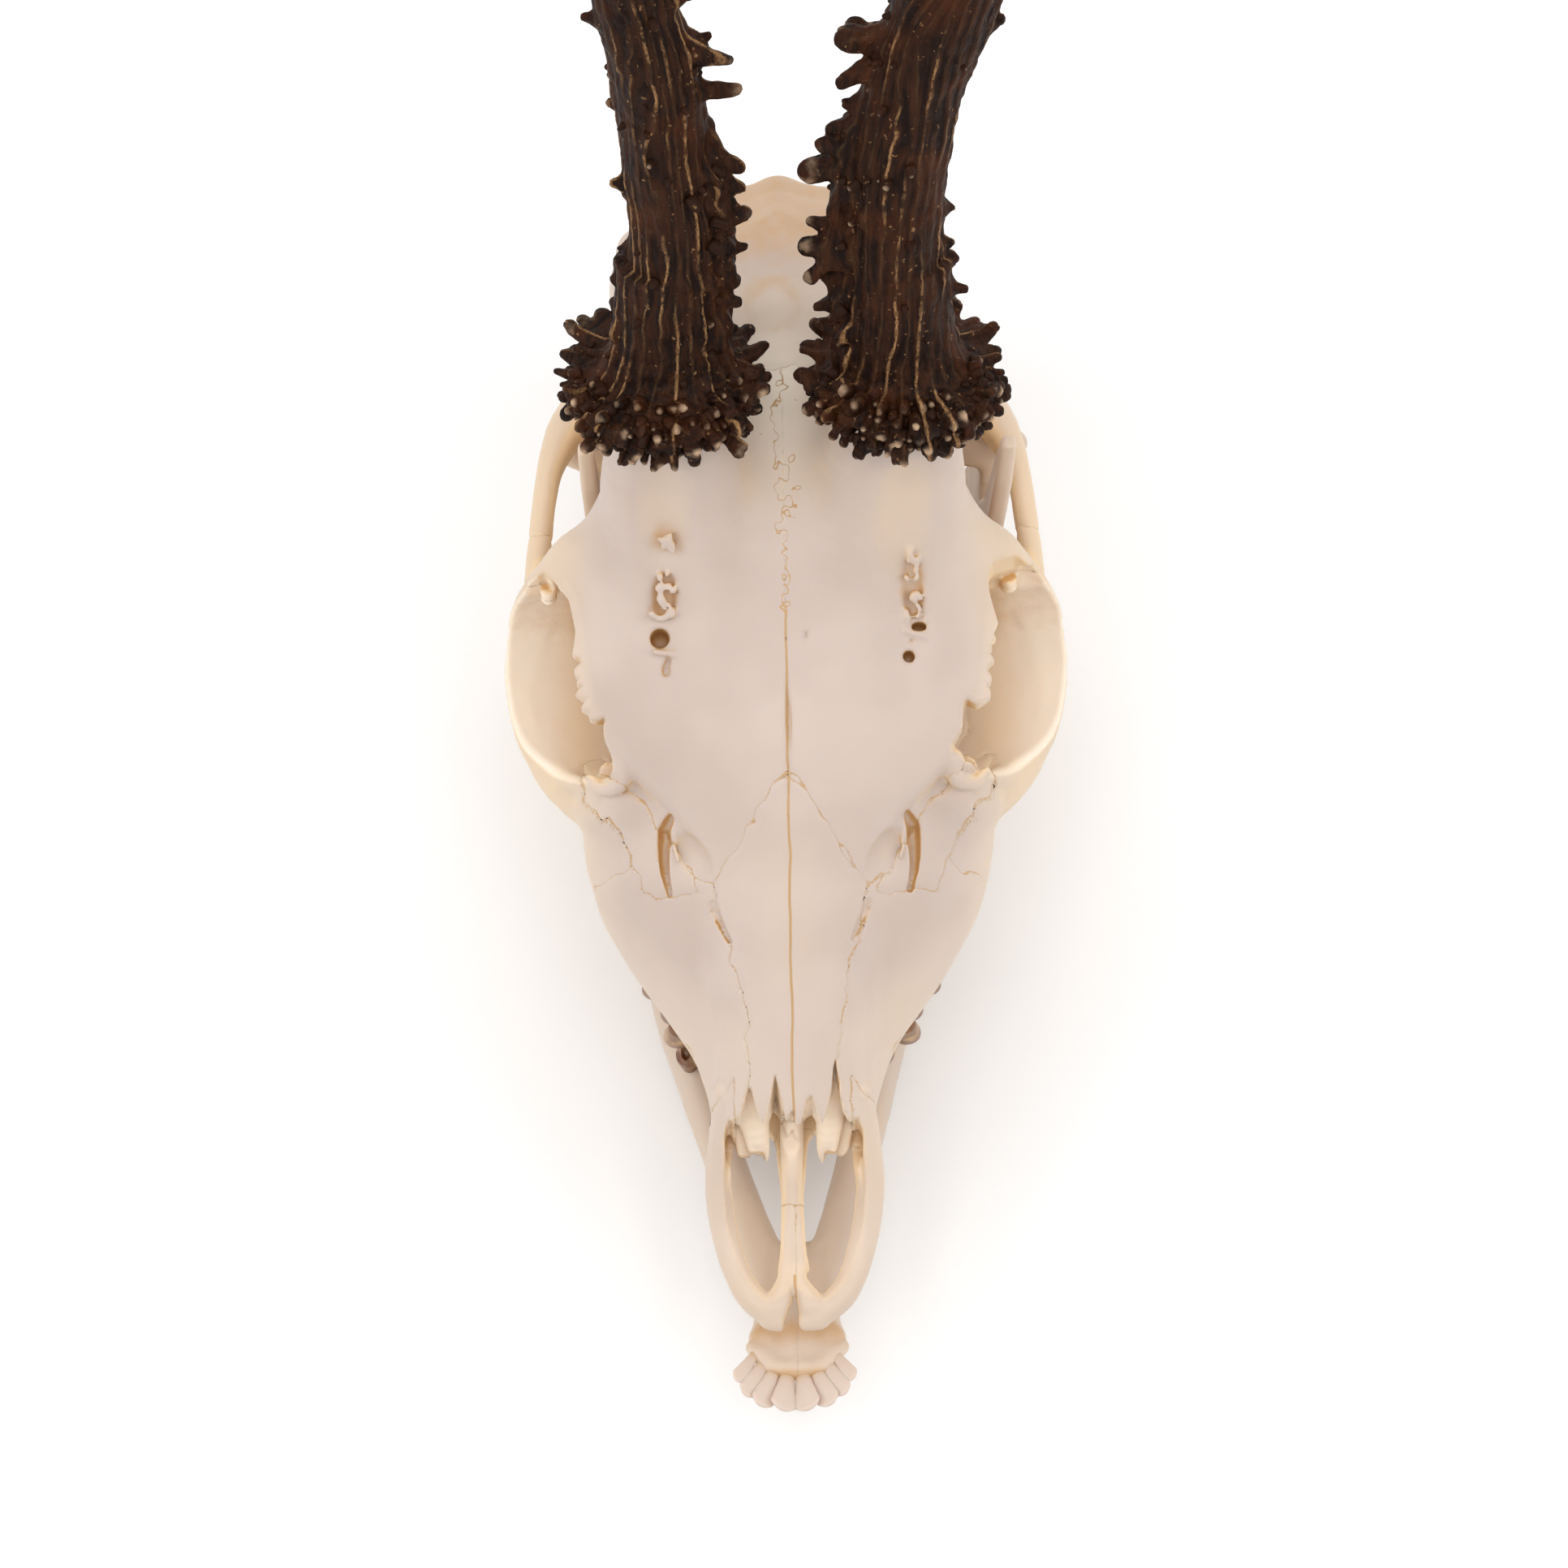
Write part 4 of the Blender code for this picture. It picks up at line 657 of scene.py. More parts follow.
# sutures seen from above, as (x, s) outlines of the right-hand bones
seams = {
    "lap": 0.2,        # mm, how far the skins of two bones run on past their seam
    "depth": 0.2, "width": 0.42,        # mm, the groove along a seam
    "wander": ((2.4, 0.8), (1.1, 0.45)),        # mm, size and reach of its bends
    # half width, s from and to, and top of the place where the vomer meets the premaxillae
    "joint": (4.4, 17, 34, 22),
    "outlines": {
        "nasal": [
            (-6, 90), (0, 82.5), (3, 79.4), (6, 74.6), (9.4, 70), (12.2, 67.4), (12.6, 62.5), (9.8, 57),
            (7.6, 46), (7.2, 35), (7.2, 22), (-6, 22)],
        "frontal": [
            (-6, 147), (16, 144), (24, 139), (32, 133), (52, 128), (52, 90), (29.5, 85.5), (22, 79.5),
            (20, 75.6), (17.2, 71.2), (14.6, 68.2), (12.2, 67.5), (9.4, 70), (6, 74.6), (3, 79.4),
            (0, 82.5), (-6, 90)],
        "lacrimal": [
            (14, 66), (17.5, 72.5), (22, 79.5), (28, 85.5), (29, 92), (34.2, 92), (33.6, 83),
            (27.5, 77), (24, 68)],
        "zygomatic": [
            (26.5, 72), (24, 82), (29, 92), (31, 104), (30, 111), (26, 114), (26, 124), (36, 125),
            (36, 132), (52, 129), (52, 72)],
        "premaxilla": [
            (-6, -5), (-6, 20), (4.2, 20), (5, 27.5), (9.6, 27.5), (9.6, 37.5), (13.4, 34), (15.5, 26),
            (20, 24), (20, -5)],
        "vomer": [(-3.4, 19.4), (3.4, 19.4), (3, 33), (-3, 33)],
        "maxilla": [(-6, 18), (-6, 106), (14, 110), (30, 113), (50, 113), (50, 18)],
    },
    # lowest height, how strongly the edge wanders
    "order": [("nasal", 16.5, 0.8), ("frontal", 41.5, 0.9), ("lacrimal", 21, 0.8),
              ("zygomatic", 13.5, 0.9), ("premaxilla", -5, 0.35), ("vomer", -5, 0),
              ("maxilla", -20, 0.5)],
}


def atJoint(x, s):
    half, start, end, _ = seams["joint"]
    return (np.abs(x) < half) & (s > start) & (s < end)


def partBones(field):
    # cuts the cranium into its bones from the roof downwards, a fine groove along each suture
    x = field["axes"][0][:, None]
    s = field["axes"][1][None, :]
    z = field["axes"][2][None, None, :]
    spots = np.stack(np.broadcast_arrays(x, s, np.float32(0)), -1)
    wander = sum(noise(spots, size) * reach for size, reach in seams["wander"])
    groove = np.full_like(field["d"], 4)
    parted = np.full_like(field["d"], 4)        # distance to the bones cut so far
    walls = []
    for name, floor, rough in seams["order"]:
        before = parted.copy()
        for label, side in sides.items() if name != "vomer" else (("", 1),):
            outline = polygonDistance(side * x, s, seams["outlines"][name]) + wander * rough
            edge = outline
            if name != "vomer":
                outline = np.maximum(outline, -side * x)
                edge = np.where(side * x > -0.3, edge, 4)
            if name in ("nasal", "premaxilla"):
                edge = outline      # only here is the middle a plain seam
            low = floor + 0 * s[:, :, None]
            if name == "frontal":
                low = floor - 8 * np.clip((97 - s[:, :, None]) / 5, 0, 1)
            if name == "nasal":
                low = floor + (s[:, :, None] - 30) * 0.5
            near = outline < 4
            xs, ss = np.flatnonzero(near.any(1)), np.flatnonzero(near.any(0))
            zs = np.flatnonzero(z.ravel() > (np.min(low) - 4))
            cut = (slice(xs[0], xs[-1] + 1), slice(ss[0], ss[-1] + 1), slice(zs[0], zs[-1] + 1))
            below = (low - z)[:, cut[1], cut[2]]
            if name == "vomer":
                below = np.maximum(below, z[:, :, cut[2]] - 22)
            wall = np.maximum(outline[cut[:2]][:, :, None], below).astype(np.float32)
            border = np.maximum(edge[cut[:2]][:, :, None], below).astype(np.float32)
            joint = atJoint(x[cut[0]], s[:, cut[1]])[:, :, None] & (z[:, :, cut[2]] < seams["joint"][3])
            border = np.where(joint, np.sign(border) * 4, border)
            line = np.where(before[cut] > -0.2, np.abs(border), 4)
            groove[cut] = np.minimum(groove[cut], line)
            title = f"{name}_{label}" if label else name
            walls.append((title, cut, wall, np.minimum(-border, before[cut])))
            parted[cut] = np.minimum(parted[cut], border)
    field["d"] += seams["depth"] * np.exp(-(groove / seams["width"]) ** 2)
    left = field["d"].copy()
    bones = {}
    for name, cut, wall, inside in walls:
        old = left[cut]
        piece = np.maximum(old, wall - seams["lap"])
        left[cut] = np.maximum(old, -wall - seams["lap"])
        axes = [line[c] for line, c in zip(field["axes"], cut)]
        bones[name] = {"axes": axes, "step": field["step"], "d": piece, "inside": inside}
    remainder = {"axes": field["axes"], "step": field["step"], "d": left, "inside": parted}
    bones["braincase"] = coarser(remainder, grid["braincase"])
    return bones


def coarser(field, times):
    # the same field on a wider grid, for the large smooth bone
    size = field["step"] * times
    axes = [np.arange(line[0], line[-1], size) for line in field["axes"]]
    wider = {"axes": axes, "step": size}
    for layer in ("d", "inside"):
        values = field[layer]
        for axis, (line, new) in enumerate(zip(field["axes"], axes)):
            spot = np.clip((new - line[0]) / field["step"], 0, len(line) - 1.001)
            first = spot.astype(int)
            share = (spot - first).astype(np.float32).reshape([-1 if a == axis else 1 for a in range(3)])
            values = values.take(first, axis) * (1 - share) + values.take(first + 1, axis) * share
        wider[layer] = values
    return wider


def srgb(code):
    channels = [int(code[i:i + 2], 16) / 255 for i in (0, 2, 4)]
    return [c / 12.92 if c <= 0.04045 else ((c + 0.055) / 1.055) ** 2.4 for c in channels] + [1]


def addNode(tree, kind, inputs=(), output=0, **settings):
    # adds a node and returns one of its outputs; an input is a value or the output that feeds it
    node = tree.nodes.new(kind)
    for key, value in settings.items():
        setattr(node, key, value)
    for key, value in inputs.items() if isinstance(inputs, dict) else enumerate(inputs):
        if isinstance(value, bpy.types.NodeSocket):
            tree.links.new(value, node.inputs[key])
        else:
            node.inputs[key].default_value = value
    return node.outputs[output] if len(node.outputs) else None


def finishOf(name, paint, settings):
    # material whose shader takes these settings and what paint draws: the colour and the bumps
    material = bpy.data.materials.new(name)
    material.use_nodes = True
    tree = material.node_tree
    tree.nodes.clear()
    inputs = dict(settings)
    inputs.update(paint(tree) if paint else {})
    shader = addNode(tree, "ShaderNodeBsdfPrincipled", inputs)
    addNode(tree, "ShaderNodeOutputMaterial", [shader])
    return material


boneLook = {
    # the light colour is painted light; ochre and dark also paint shade into hollows, dark mostly in the
    # deepest holes
    "white": "C7B4A8", "pale": "CEBCB0", "cream": "EED3AC", "ochre": "CB9F68", "paintedLight": "F8E9D6",
    "dark": "96703F", "line": "C39A68",
    "noises": {    # one over its size in mm, detail, roughness
        "cloud": (0.05, 2, 0.5), "mottle": (0.5, 4, 0.5), "fine": (1.4, 2, 0.5), "gaps": (0.22, 1, 0.5),
        "grain": (2.2, 5, 0.6)},
    "bends": (     # one over the size, detail, reach in mm, and where along s they begin and end
        (0.36, 0.6, 6.5, 115, 121, 141, 146), (0.85, 0.4, 2.3, 105, 109, 142, 147),
        (0.12, 1, 0.45, -60, -50, 300, 310)),
    "shader": {"Roughness": 0.46, "IOR": 1.5, "Subsurface Weight": 0.2, "Subsurface Scale": 0.001,
               "Subsurface Radius": (1.0, 0.7, 0.45)},
}


def paintBone(tree):
    # dry bone, boiled and bleached: satin and slightly waxy, with cream and ochre where fat stayed in it,
    # painted shade in its hollows and painted light where it lies in shade
    mark = {name: addNode(tree, "ShaderNodeAttribute", output="Fac", attribute_name=name)
            for name in ("cream", "paintedLight", "stain", "seam", "forehead")}
    spot = addNode(tree, "ShaderNodeAttribute", output="Vector", attribute_name="skull")   # mm
    x = addNode(tree, "ShaderNodeSeparateXYZ", [spot])
    s = addNode(tree, "ShaderNodeSeparateXYZ", [spot], output=1)
    drawn = {name: addNode(tree, "ShaderNodeTexNoise", {"Vector": spot, "Scale": scale, "Detail": detail,
                                                        "Roughness": roughness})
             for name, (scale, detail, roughness) in boneLook["noises"].items()}
    # the mid-line: straight over the nose, meandering in loops where the forehead's halves interlock
    line = x
    for scale, detail, reach, start, full, last, end in boneLook["bends"]:
        bend = addNode(tree, "ShaderNodeTexNoise", {"Vector": spot, "Scale": scale, "Detail": detail})
        bend = addNode(tree, "ShaderNodeMapRange", [bend, 0, 1, -reach, reach])
        for near, far in ((start, full), (end, last)):
            share = addNode(tree, "ShaderNodeMapRange", [s, near, far], interpolation_type="SMOOTHSTEP")
            bend = addNode(tree, "ShaderNodeMath", [bend, share], operation="MULTIPLY")
        line = addNode(tree, "ShaderNodeMath", [line, bend], operation="ADD")
    line = addNode(tree, "ShaderNodeMath", [line], operation="ABSOLUTE")
    stain = addNode(tree, "ShaderNodeMath", [drawn["mottle"], 0.25, mark["stain"]],
                    operation="MULTIPLY_ADD")
    seam = addNode(tree, "ShaderNodeMath", [drawn["fine"], 0.16, mark["seam"]], operation="MULTIPLY_ADD")
    # where each thing shows: what it is read from, from where to where, and how much
    shown = {name: addNode(tree, "ShaderNodeMapRange", settings, interpolation_type="SMOOTHSTEP")
             for name, settings in {
                 "pale": [drawn["cloud"], 0.35, 0.65], "ochre": [stain, 0.275, 0.825],
                 "dark": [stain, 0.875, 1.325], "seam": [seam, 0.2, 0.02],
                 "gaps": [drawn["gaps"], 0.3, 0.6, 0.25, 0.9], "midline": [line, 0.32, 0.1, 0, 0.95],
                 "nose": [s, 28, 32], "crown": [s, 147, 144]}.items()}
    midline = shown["midline"]
    for share in (shown["nose"], shown["crown"], mark["forehead"]):
        midline = addNode(tree, "ShaderNodeMath", [midline, share], operation="MULTIPLY")
    sutures = addNode(tree, "ShaderNodeMath", [shown["seam"], shown["gaps"]], operation="MULTIPLY")
    lines = addNode(tree, "ShaderNodeMath", [sutures, midline], operation="MAXIMUM")
    # ochre and dark, read from the stain, also paint shade into hollows and holes, and the light colour
    # paints light
    colour = srgb(boneLook["white"])
    for share, name in ((shown["pale"], "pale"), (mark["cream"], "cream"), (mark["paintedLight"], "paintedLight"),
                        (shown["ochre"], "ochre"), (shown["dark"], "dark"), (lines, "line")):
        colour = addNode(tree, "ShaderNodeMix", {0: share, 6: colour, 7: srgb(boneLook[name])}, output=2,
                         data_type="RGBA")
    height = addNode(tree, "ShaderNodeMath", [lines, -0.6, drawn["grain"]], operation="MULTIPLY_ADD")
    bump = addNode(tree, "ShaderNodeBump", {"Strength": 0.25, "Distance": 0.00012, "Height": height})
    return {"Base Color": colour, "Normal": bump}


tints = {      # where fat and dirt stayed in the bone, and where light and shade are painted on it
    "betweenAntlers": (143, 11),        # s and how far it reaches
    "nose": (12, 9, 46, 50),            # x from outside to inside, s from front to back
    "backOfHead": (142, 168, 22, 48),   # s from and to, z from and to
    "boss": (-1.6, 157, 4.2, 1.6),      # x, s, radius and width of its ochre ring
}


def tintsOf(field, points, normals):
    # cream, stain and painted light over the cranium, each from 0 to about 1; the stain also carries
    # painted shade
    open3 = fade(sample(field, points + normals * 2.5), 0, 2.5)
    open8 = fade(sample(field, points + normals * 9), 0, 9)
    x, s, z = np.abs(points[:, 0]), points[:, 1], points[:, 2]
    side = fade(x, 27, 39) * 0.5 + fade(z, 30, 0) * 0.35
    cream = np.clip(side + (1 - open8) * 0.8 + noise(points, 14) * 0.15, 0, 1)
    # ochre that the bone has in its hollows, deepened by painted shade wherever the bone is closed in
    stain = np.clip((1 - open3) * 0.5 + (1 - open8) * 0.42 - 0.17, 0, 1.2)
    # the bowl of the eye is creamy right up to its rim, with painted light on its outer part
    inward = (np.stack([x, s, z], 1) - socket["centre"]) / socket["radii"]
    outside = np.sign(points[:, 0])
    faces = -(normals[:, 0] * outside * inward[:, 0] + (normals[:, 1:] * inward[:, 1:]).sum(1))
    bowl = fade(np.linalg.norm(inward, axis=1), 1.3, 1.15) * np.clip(faces * 3, 0, 1)
    cream = np.clip(cream + 0.35 * bowl, 0, 1)
    stain *= 1 - 0.9 * bowl
    paintedLight = 0.95 * bowl * fade(x, 32, 40)
    # painted light on the bone between the antlers, where they shade it, and in the hollows inside the
    # nose, with less stain and painted shade there
    paintedLight = np.maximum(paintedLight, 0.9 * bell(s, *tints["betweenAntlers"]) * fade(x, 15, 9) * (z > 40))
    wide, narrow, front, end = tints["nose"]
    nose = fade(x, wide, narrow) * fade(s, end, front) * fade(z, 5, 8)
    paintedLight = np.maximum(paintedLight, np.clip(0.8 * nose * (1 - open8), 0, 1))
    stain *= 1 - 0.6 * fade(x, wide, narrow) * fade(s, 48, 44)
    # the back of the head kept more fat, creamier and ochre, and grows darker towards the back with painted
    # shade
    start, full, low, high = tints["backOfHead"]
    warm = fade(s, start, full) * np.clip((z - low) / (high - low) + noise(points, 9) * 0.2, 0, 1)
    cream = np.clip(cream + (0.4 - 0.55 * fade(s, 154, 170)) * warm, 0, 1)
    stain += (0.1 + 0.36 * fade(s, 156, 172)) * warm
    # painted shade in the bowl of the eye, towards its inner side and its back under the roof
    stain += bowl * (0.26 * fade(x, 38, 29) + 0.3 * fade(s, 108, 115))
    x0, s0, radius, width = tints["boss"]
    boss = np.hypot(points[:, 0] - x0, s - s0) + noise(points, 3) * 1.2
    stain += 0.22 * bell(boss, radius, width) * (z > 55)
    return {"cream": cream, "stain": stain, "paintedLight": paintedLight}


def finishBone(name, mesh, points, marks, material):
    # what the material reads at each point, and where the bone belongs
    for key in ("cream", "stain", "paintedLight", "seam", "forehead"):
        setAttribute(mesh, key, marks.get(key, np.zeros(len(points))))
    setAttribute(mesh, "skull", points, "FLOAT_VECTOR")
    mesh.materials.append(material)
    piece = addObject(name + "_bone", mesh)
    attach(piece, "root")
    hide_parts(name)
    print("bone", name, len(mesh.polygons))


def finishCranium(field, bones, material):
    for name, bone in bones.items():
        points, quads, outer, slope = skinOf(bone, field, times=2)
        points = roughen(points, slope)
        mesh = meshOf(name + "_bone", points, quads)
        normals = normalsOf(mesh)
        seam = sample(bone, points, "inside")
        # beside a seam the light falls as if the bones were one
        x, s = points[:, 0], points[:, 1]
        nearSeam = outer & ((seam < 1.2) | (np.abs(x) < 1.2) | atJoint(x, s))
        smooth = np.where(nearSeam[:, None], slope @ tilted.T, 0)
        mesh.normals_split_custom_set_from_vertices(smooth.astype(np.float32))
        marks = tintsOf(field, points, normals)
        marks["seam"] = seam
        marks["forehead"] = np.full(len(points), float(name.startswith(("frontal", "nasal"))))
        finishBone(name, mesh, points, marks, material)


bone = finishOf("bleachedBone", paintBone, boneLook["shader"])
whole = craniumField()
carveDetails(whole)
print("cranium drawn")
bones = partBones(whole)
print("bones parted")
finishCranium(whole, bones, bone)

jaw = {
    "body": [   # s, x, half thickness, top, widest, bottom
        (-5.6, 3.2, 3.3, -6.2, -8.6, -11), (-1, 3.2, 3.4, -6.8, -10, -13),
        (3, 3.1, 3.3, -7.8, -12.2, -16.4), (12, 4.6, 4.4, -10, -15.2, -20.2),
        (22, 8, 3.8, -13.4, -18.5, -23.6), (33, 11.5, 3.6, -16.4, -21.5, -26.6),
        (45, 15, 3.8, -17.4, -23.5, -29.8), (55, 17.8, 4.2, -17.2, -25, -32.4),
        (65, 19.6, 4.5, -17, -26, -34.4), (78, 21.6, 4.6, -17, -27, -36.2),
        (92, 24, 4.7, -17, -28, -37.5), (106, 26.4, 4.4, -16, -28.5, -38.7),
        (118, 28.4, 3.4, -12, -28, -39.7), (128, 30, 2.4, -8, -28, -40.6)],
    "ramus": [  # s, z
        (104, -20), (112, -12), (118, -1), (123, 11), (127, 22), (130.5, 33), (134, 41), (138.5, 46.5),
        (141, 45.6), (140.6, 39), (139, 30), (138.6, 21), (140.5, 13.4), (144, 11.6), (149, 13.4),
        (155, 13), (155.6, 7), (154.4, -2), (156, -13), (158.6, -24), (157.6, -34), (152, -40.4),
        (143, -41.9), (132, -40.6), (120, -39.3), (106, -37.6)],
    "edgeRadius": 1.1,
    "shapes": [
        ("right", ((30.5, 150.5, 13.4), (8, 4.2, 2.8)), {"blend": 2}),      # joint head
        ("right", [(29, 138, -36, 4), (30, 148, -38, 3.8), (30.5, 156, -30, 3.2)], {"blend": 3}),
        # the broad front end that holds the incisors, and its flared corners
        ("right", [(0.3, -4.6, -8.6, 2.2), (0.4, 2, -11.4, 3), (0.4, 9, -14.2, 3.4), (0.4, 16, -16.6, 2.6)],
         {"blend": 2}),
        ("right", [(0.3, -5.4, -7.6, 1.4), (3.6, -4.8, -7.5, 1.5), (6.2, -2.6, -7.6, 1.4),
                   (7.7, -1.5, -8.2, 1.0)], {"blend": 1.4}),
        ("right", [(5.2, 4, -11, 1.6), (6.4, 0.6, -9.4, 1.7)], {"blend": 1.5}),
        ("right", [(5.2, -1, -9.8, 1.6), (4.6, 5, -12.4, 1.8), (5.2, 14, -14.4, 1.6)], {"blend": 2}),
        ("right", [(2.2, -2.4, -5.2, 1.2), (2.8, 3, -6.6, 1.7), (3, 9, -8.6, 2), (3, 16, -11, 1.2)],
         {"blend": 1.5, **cutOut}),
        # holes for nerves, and the hollow of the muscle on the outer side
        ("right", [(13, 21, -17.5, 1.3), (9, 24, -18, 1.2)], {"blend": 0.8, **cutOut}),
        ("right", [(26, 131, -8, 2), (30, 126, -12, 1.6)], {"blend": 1, **cutOut}),
        ("right", ((37.6, 140, -18), (4.7, 14, 17)), {"blend": 2, **cutOut})],
    # outward set of each half: front, tooth row, ramus, and the lean of the ramus
    "set": {"left": (0, 0.6, -0.6, 0.03), "right": (0, -2.6, 0.9, 0.085)},
}


def jawShift(label, s, z):
    front, middle, rear, lean = jaw["set"][label]
    share = fade(s, 62, 122)
    shift = front + (middle - front) * fade(s, 20, 62) + (rear - middle) * share
    return shift + lean * share * np.maximum(0, z + 15)


def jawField():
    # the right half; the left one is its mirror image
    field = newField(*grid["jawBox"], grid["bone"])
    loft(field, jaw["body"], 2.4, 2.2)
    cut, x, s, z = window(field, (20, 100, -46), (42, 163, 50))
    side = polygonDistance(s[0], z[0], jaw["ramus"])[None, :, :]
    r = jaw["edgeRadius"]
    thick = 1.2 + 0.5 * fade(z, -5, -35) + 0.3 * bell(side, 0, 3)
    across = np.abs(x - 28.6 - 0.08 * (s - 104)) - thick + r
    edge = side + r
    shape = np.sqrt(np.maximum(edge, 0) ** 2 + np.maximum(across, 0) ** 2) - r
    merge(field, cut, shape + np.minimum(np.maximum(edge, across), 0), 3)
    drawShapes(field, jaw["shapes"])
    return field


def finishJaw(field, material):
    # the half ends a little short of the middle, at -0.12
    half = {**field, "d": np.maximum(field["d"], -0.12 - field["axes"][0][:, None, None])}
    base, baseQuads, _, slope = skinOf(half, field)
    base = roughen(base, slope, 1.2)
    open8 = fade(sample(field, base + slope * 7), 0, 7)
    for label, side in sides.items():
        points = base.copy()
        points[:, 0] = side * (points[:, 0] + jawShift(label, points[:, 1], points[:, 2]))
        mesh = meshOf(f"mandible_{label}_bone", points, baseQuads if side > 0 else baseQuads[:, ::-1])
        s, z = points[:, 1], points[:, 2]
        gum = bell(z + 16 - 0.02 * s, 0, 2.2) * (s > 40)
        front = bell(s, -6.2, 1.2) * (z > -9.5)
        # painted shadow on the front of this jaw, where the upper jaw overhangs it
        premaxillaShadow = bell(s, 2, 4) * fade(z, -10, -8)
        # the stain holds a band along the tooth row, a mark at the front tip, painted shade in hollows and
        # that painted shadow
        marks = {"cream": np.clip(0.3 + (1 - open8) * 0.35 + noise(points, 12) * 0.2, 0, 1),
                 "stain": np.clip((1 - open8) * 0.25 + gum * 0.35 + front * 0.45 + premaxillaShadow * 0.5, 0, 1),
                 "seam": np.full(len(points), 4.0)}
        finishBone(f"mandible_{label}", mesh, points, marks, material)


finishJaw(jawField(), bone)

teeth = {
    "upper": [  # s, x, half length, half width
        (54, 17.6, 4.2, 4.2), (62.5, 20.6, 4.3, 4.8), (71, 22.8, 4.4, 5.4), (80.5, 24.2, 5.2, 6.2),
        (91.5, 25, 5.6, 6.5), (102.5, 24.6, 5.6, 6.2)],
    "lower": [
        (52, 16.6, 3.8, 2.8), (60, 18.2, 4, 3.2), (68.5, 19.6, 4.2, 3.6), (78, 21, 5, 3.9),
        (89, 22.6, 5.6, 4.1), (101.5, 24.4, 6.4, 4.2)],
    # of each row: height, which way up, slant in radians, and the dirt on the front and back three
    "rows": {"upper": (-3.4, math.pi, -0.1, (0.9, 0.3)), "lower": (-13.4, 0, 0.1, (1.0, 0.4))},
    "toeIn": math.atan2(6, 48),
    # incisors from the middle outwards: neck, tip, width
    "front": [((1.2, -5.8, -7.9), (2.2, -13.0, -3.7), 5.6), ((3.3, -5.0, -7.8), (5.9, -12.2, -3.8), 5.0),
              ((5.0, -3.8, -7.6), (8.3, -10.4, -4.0), 4.4), ((6.4, -2.3, -7.5), (9.8, -7.8, -4.2), 3.4)],
}


def templateMesh(name, field):
    points, quads, _, _ = skinOf(field, field)
    mesh = bpy.data.meshes.new(name)
    mesh.from_pydata((points / 1000).tolist(), [], quads.tolist())
    mesh.shade_smooth()
    return mesh, points


def molarTemplate():
    # two lobes with crescent crests; across x, along y, chewing face at z = 4
    field = newField(*grid["molarBox"], grid["tooth"])
    cut, x, y, z = window(field, *grid["molarBox"])
    d = np.full(field["d"].shape, 9, np.float32)
    for cx in (-2.1, 2.1):
        for cy in (-2.45, 2.45):
            column = np.sqrt(((x - cx) / 1.12) ** 2 + (y - cy) ** 2) - 2.5 + 0.07 * np.abs(z - 1)
            d = soften(d, column + 0 * z, 0.8)
    crest = 9.0
    for cx in (-1.9, 1.9):
        for cy in (-2.45, 2.45):
            r = np.sqrt(((x - cx * 0.9) / 0.8) ** 2 + ((y - cy) / 1.0) ** 2)
            crest = np.minimum(crest, np.abs(r - 1.75))
    top = 4.1 - 1.3 * np.clip(crest / 0.9, 0, 1) - 0.6 * (np.abs(y) / 4.5) ** 2
    field["d"][cut] = np.maximum(np.maximum(d, (z - top) * 0.7), -5 - z)
    return templateMesh("cheekTooth", field)


def incisorTemplate():
    # spatula along y from the neck at 0 to the tip at 10, hollow side up, one unit = 1/10 of its length
    field = newField(*grid["incisorBox"], grid["tooth"])
    cut, x, y, z = window(field, *grid["incisorBox"])
    along = np.clip(y / 10, 0, 1)
    half = 1.15 + 1.5 * along ** 1.4 - 1.9 * np.clip((y - 7.6) / 2.4, 0, 1) ** 2.6
    thick = 1.25 - 0.75 * along
    bend = 0.28 * (x / np.maximum(half, 0.1)) ** 2 * along + 0.25 * np.exp(-(x / 0.35) ** 2) * along * 0.6
    k = np.sqrt((x / half) ** 2 + ((z - bend) / thick) ** 2)
    blade = (k - 1) * np.minimum(half, thick)
    field["d"][cut] = np.maximum(np.maximum(blade, y - 10), -3 - y)
    return templateMesh("incisor", field)


def scatterTree(name, material):
    # one copy of the template on every point, turned and sized by the point's own attributes
    tree = bpy.data.node_groups.new(name, "GeometryNodeTree")
    for title, way, kind in (("Points", "INPUT", "Geometry"), ("Template", "INPUT", "Object"),
                             ("Shape", "OUTPUT", "Geometry")):
        tree.interface.new_socket(title, in_out=way, socket_type="NodeSocket" + kind)
    spots = addNode(tree, "NodeGroupInput", output="Points")
    item = addNode(tree, "NodeGroupInput", output="Template")
    shape = addNode(tree, "GeometryNodeObjectInfo", {"Object": item}, output="Geometry")
    turn, size = (addNode(tree, "GeometryNodeInputNamedAttribute", {"Name": key}, data_type="FLOAT_VECTOR")
                  for key in ("turn", "size"))
    turn = addNode(tree, "FunctionNodeEulerToRotation", [turn])
    copies = addNode(tree, "GeometryNodeInstanceOnPoints",
                     {"Points": spots, "Instance": shape, "Rotation": turn, "Scale": size})
    real = addNode(tree, "GeometryNodeRealizeInstances", {"Geometry": copies})
    painted = addNode(tree, "GeometryNodeSetMaterial", {"Geometry": real, "Material": material})
    addNode(tree, "NodeGroupOutput", [painted])
    return tree


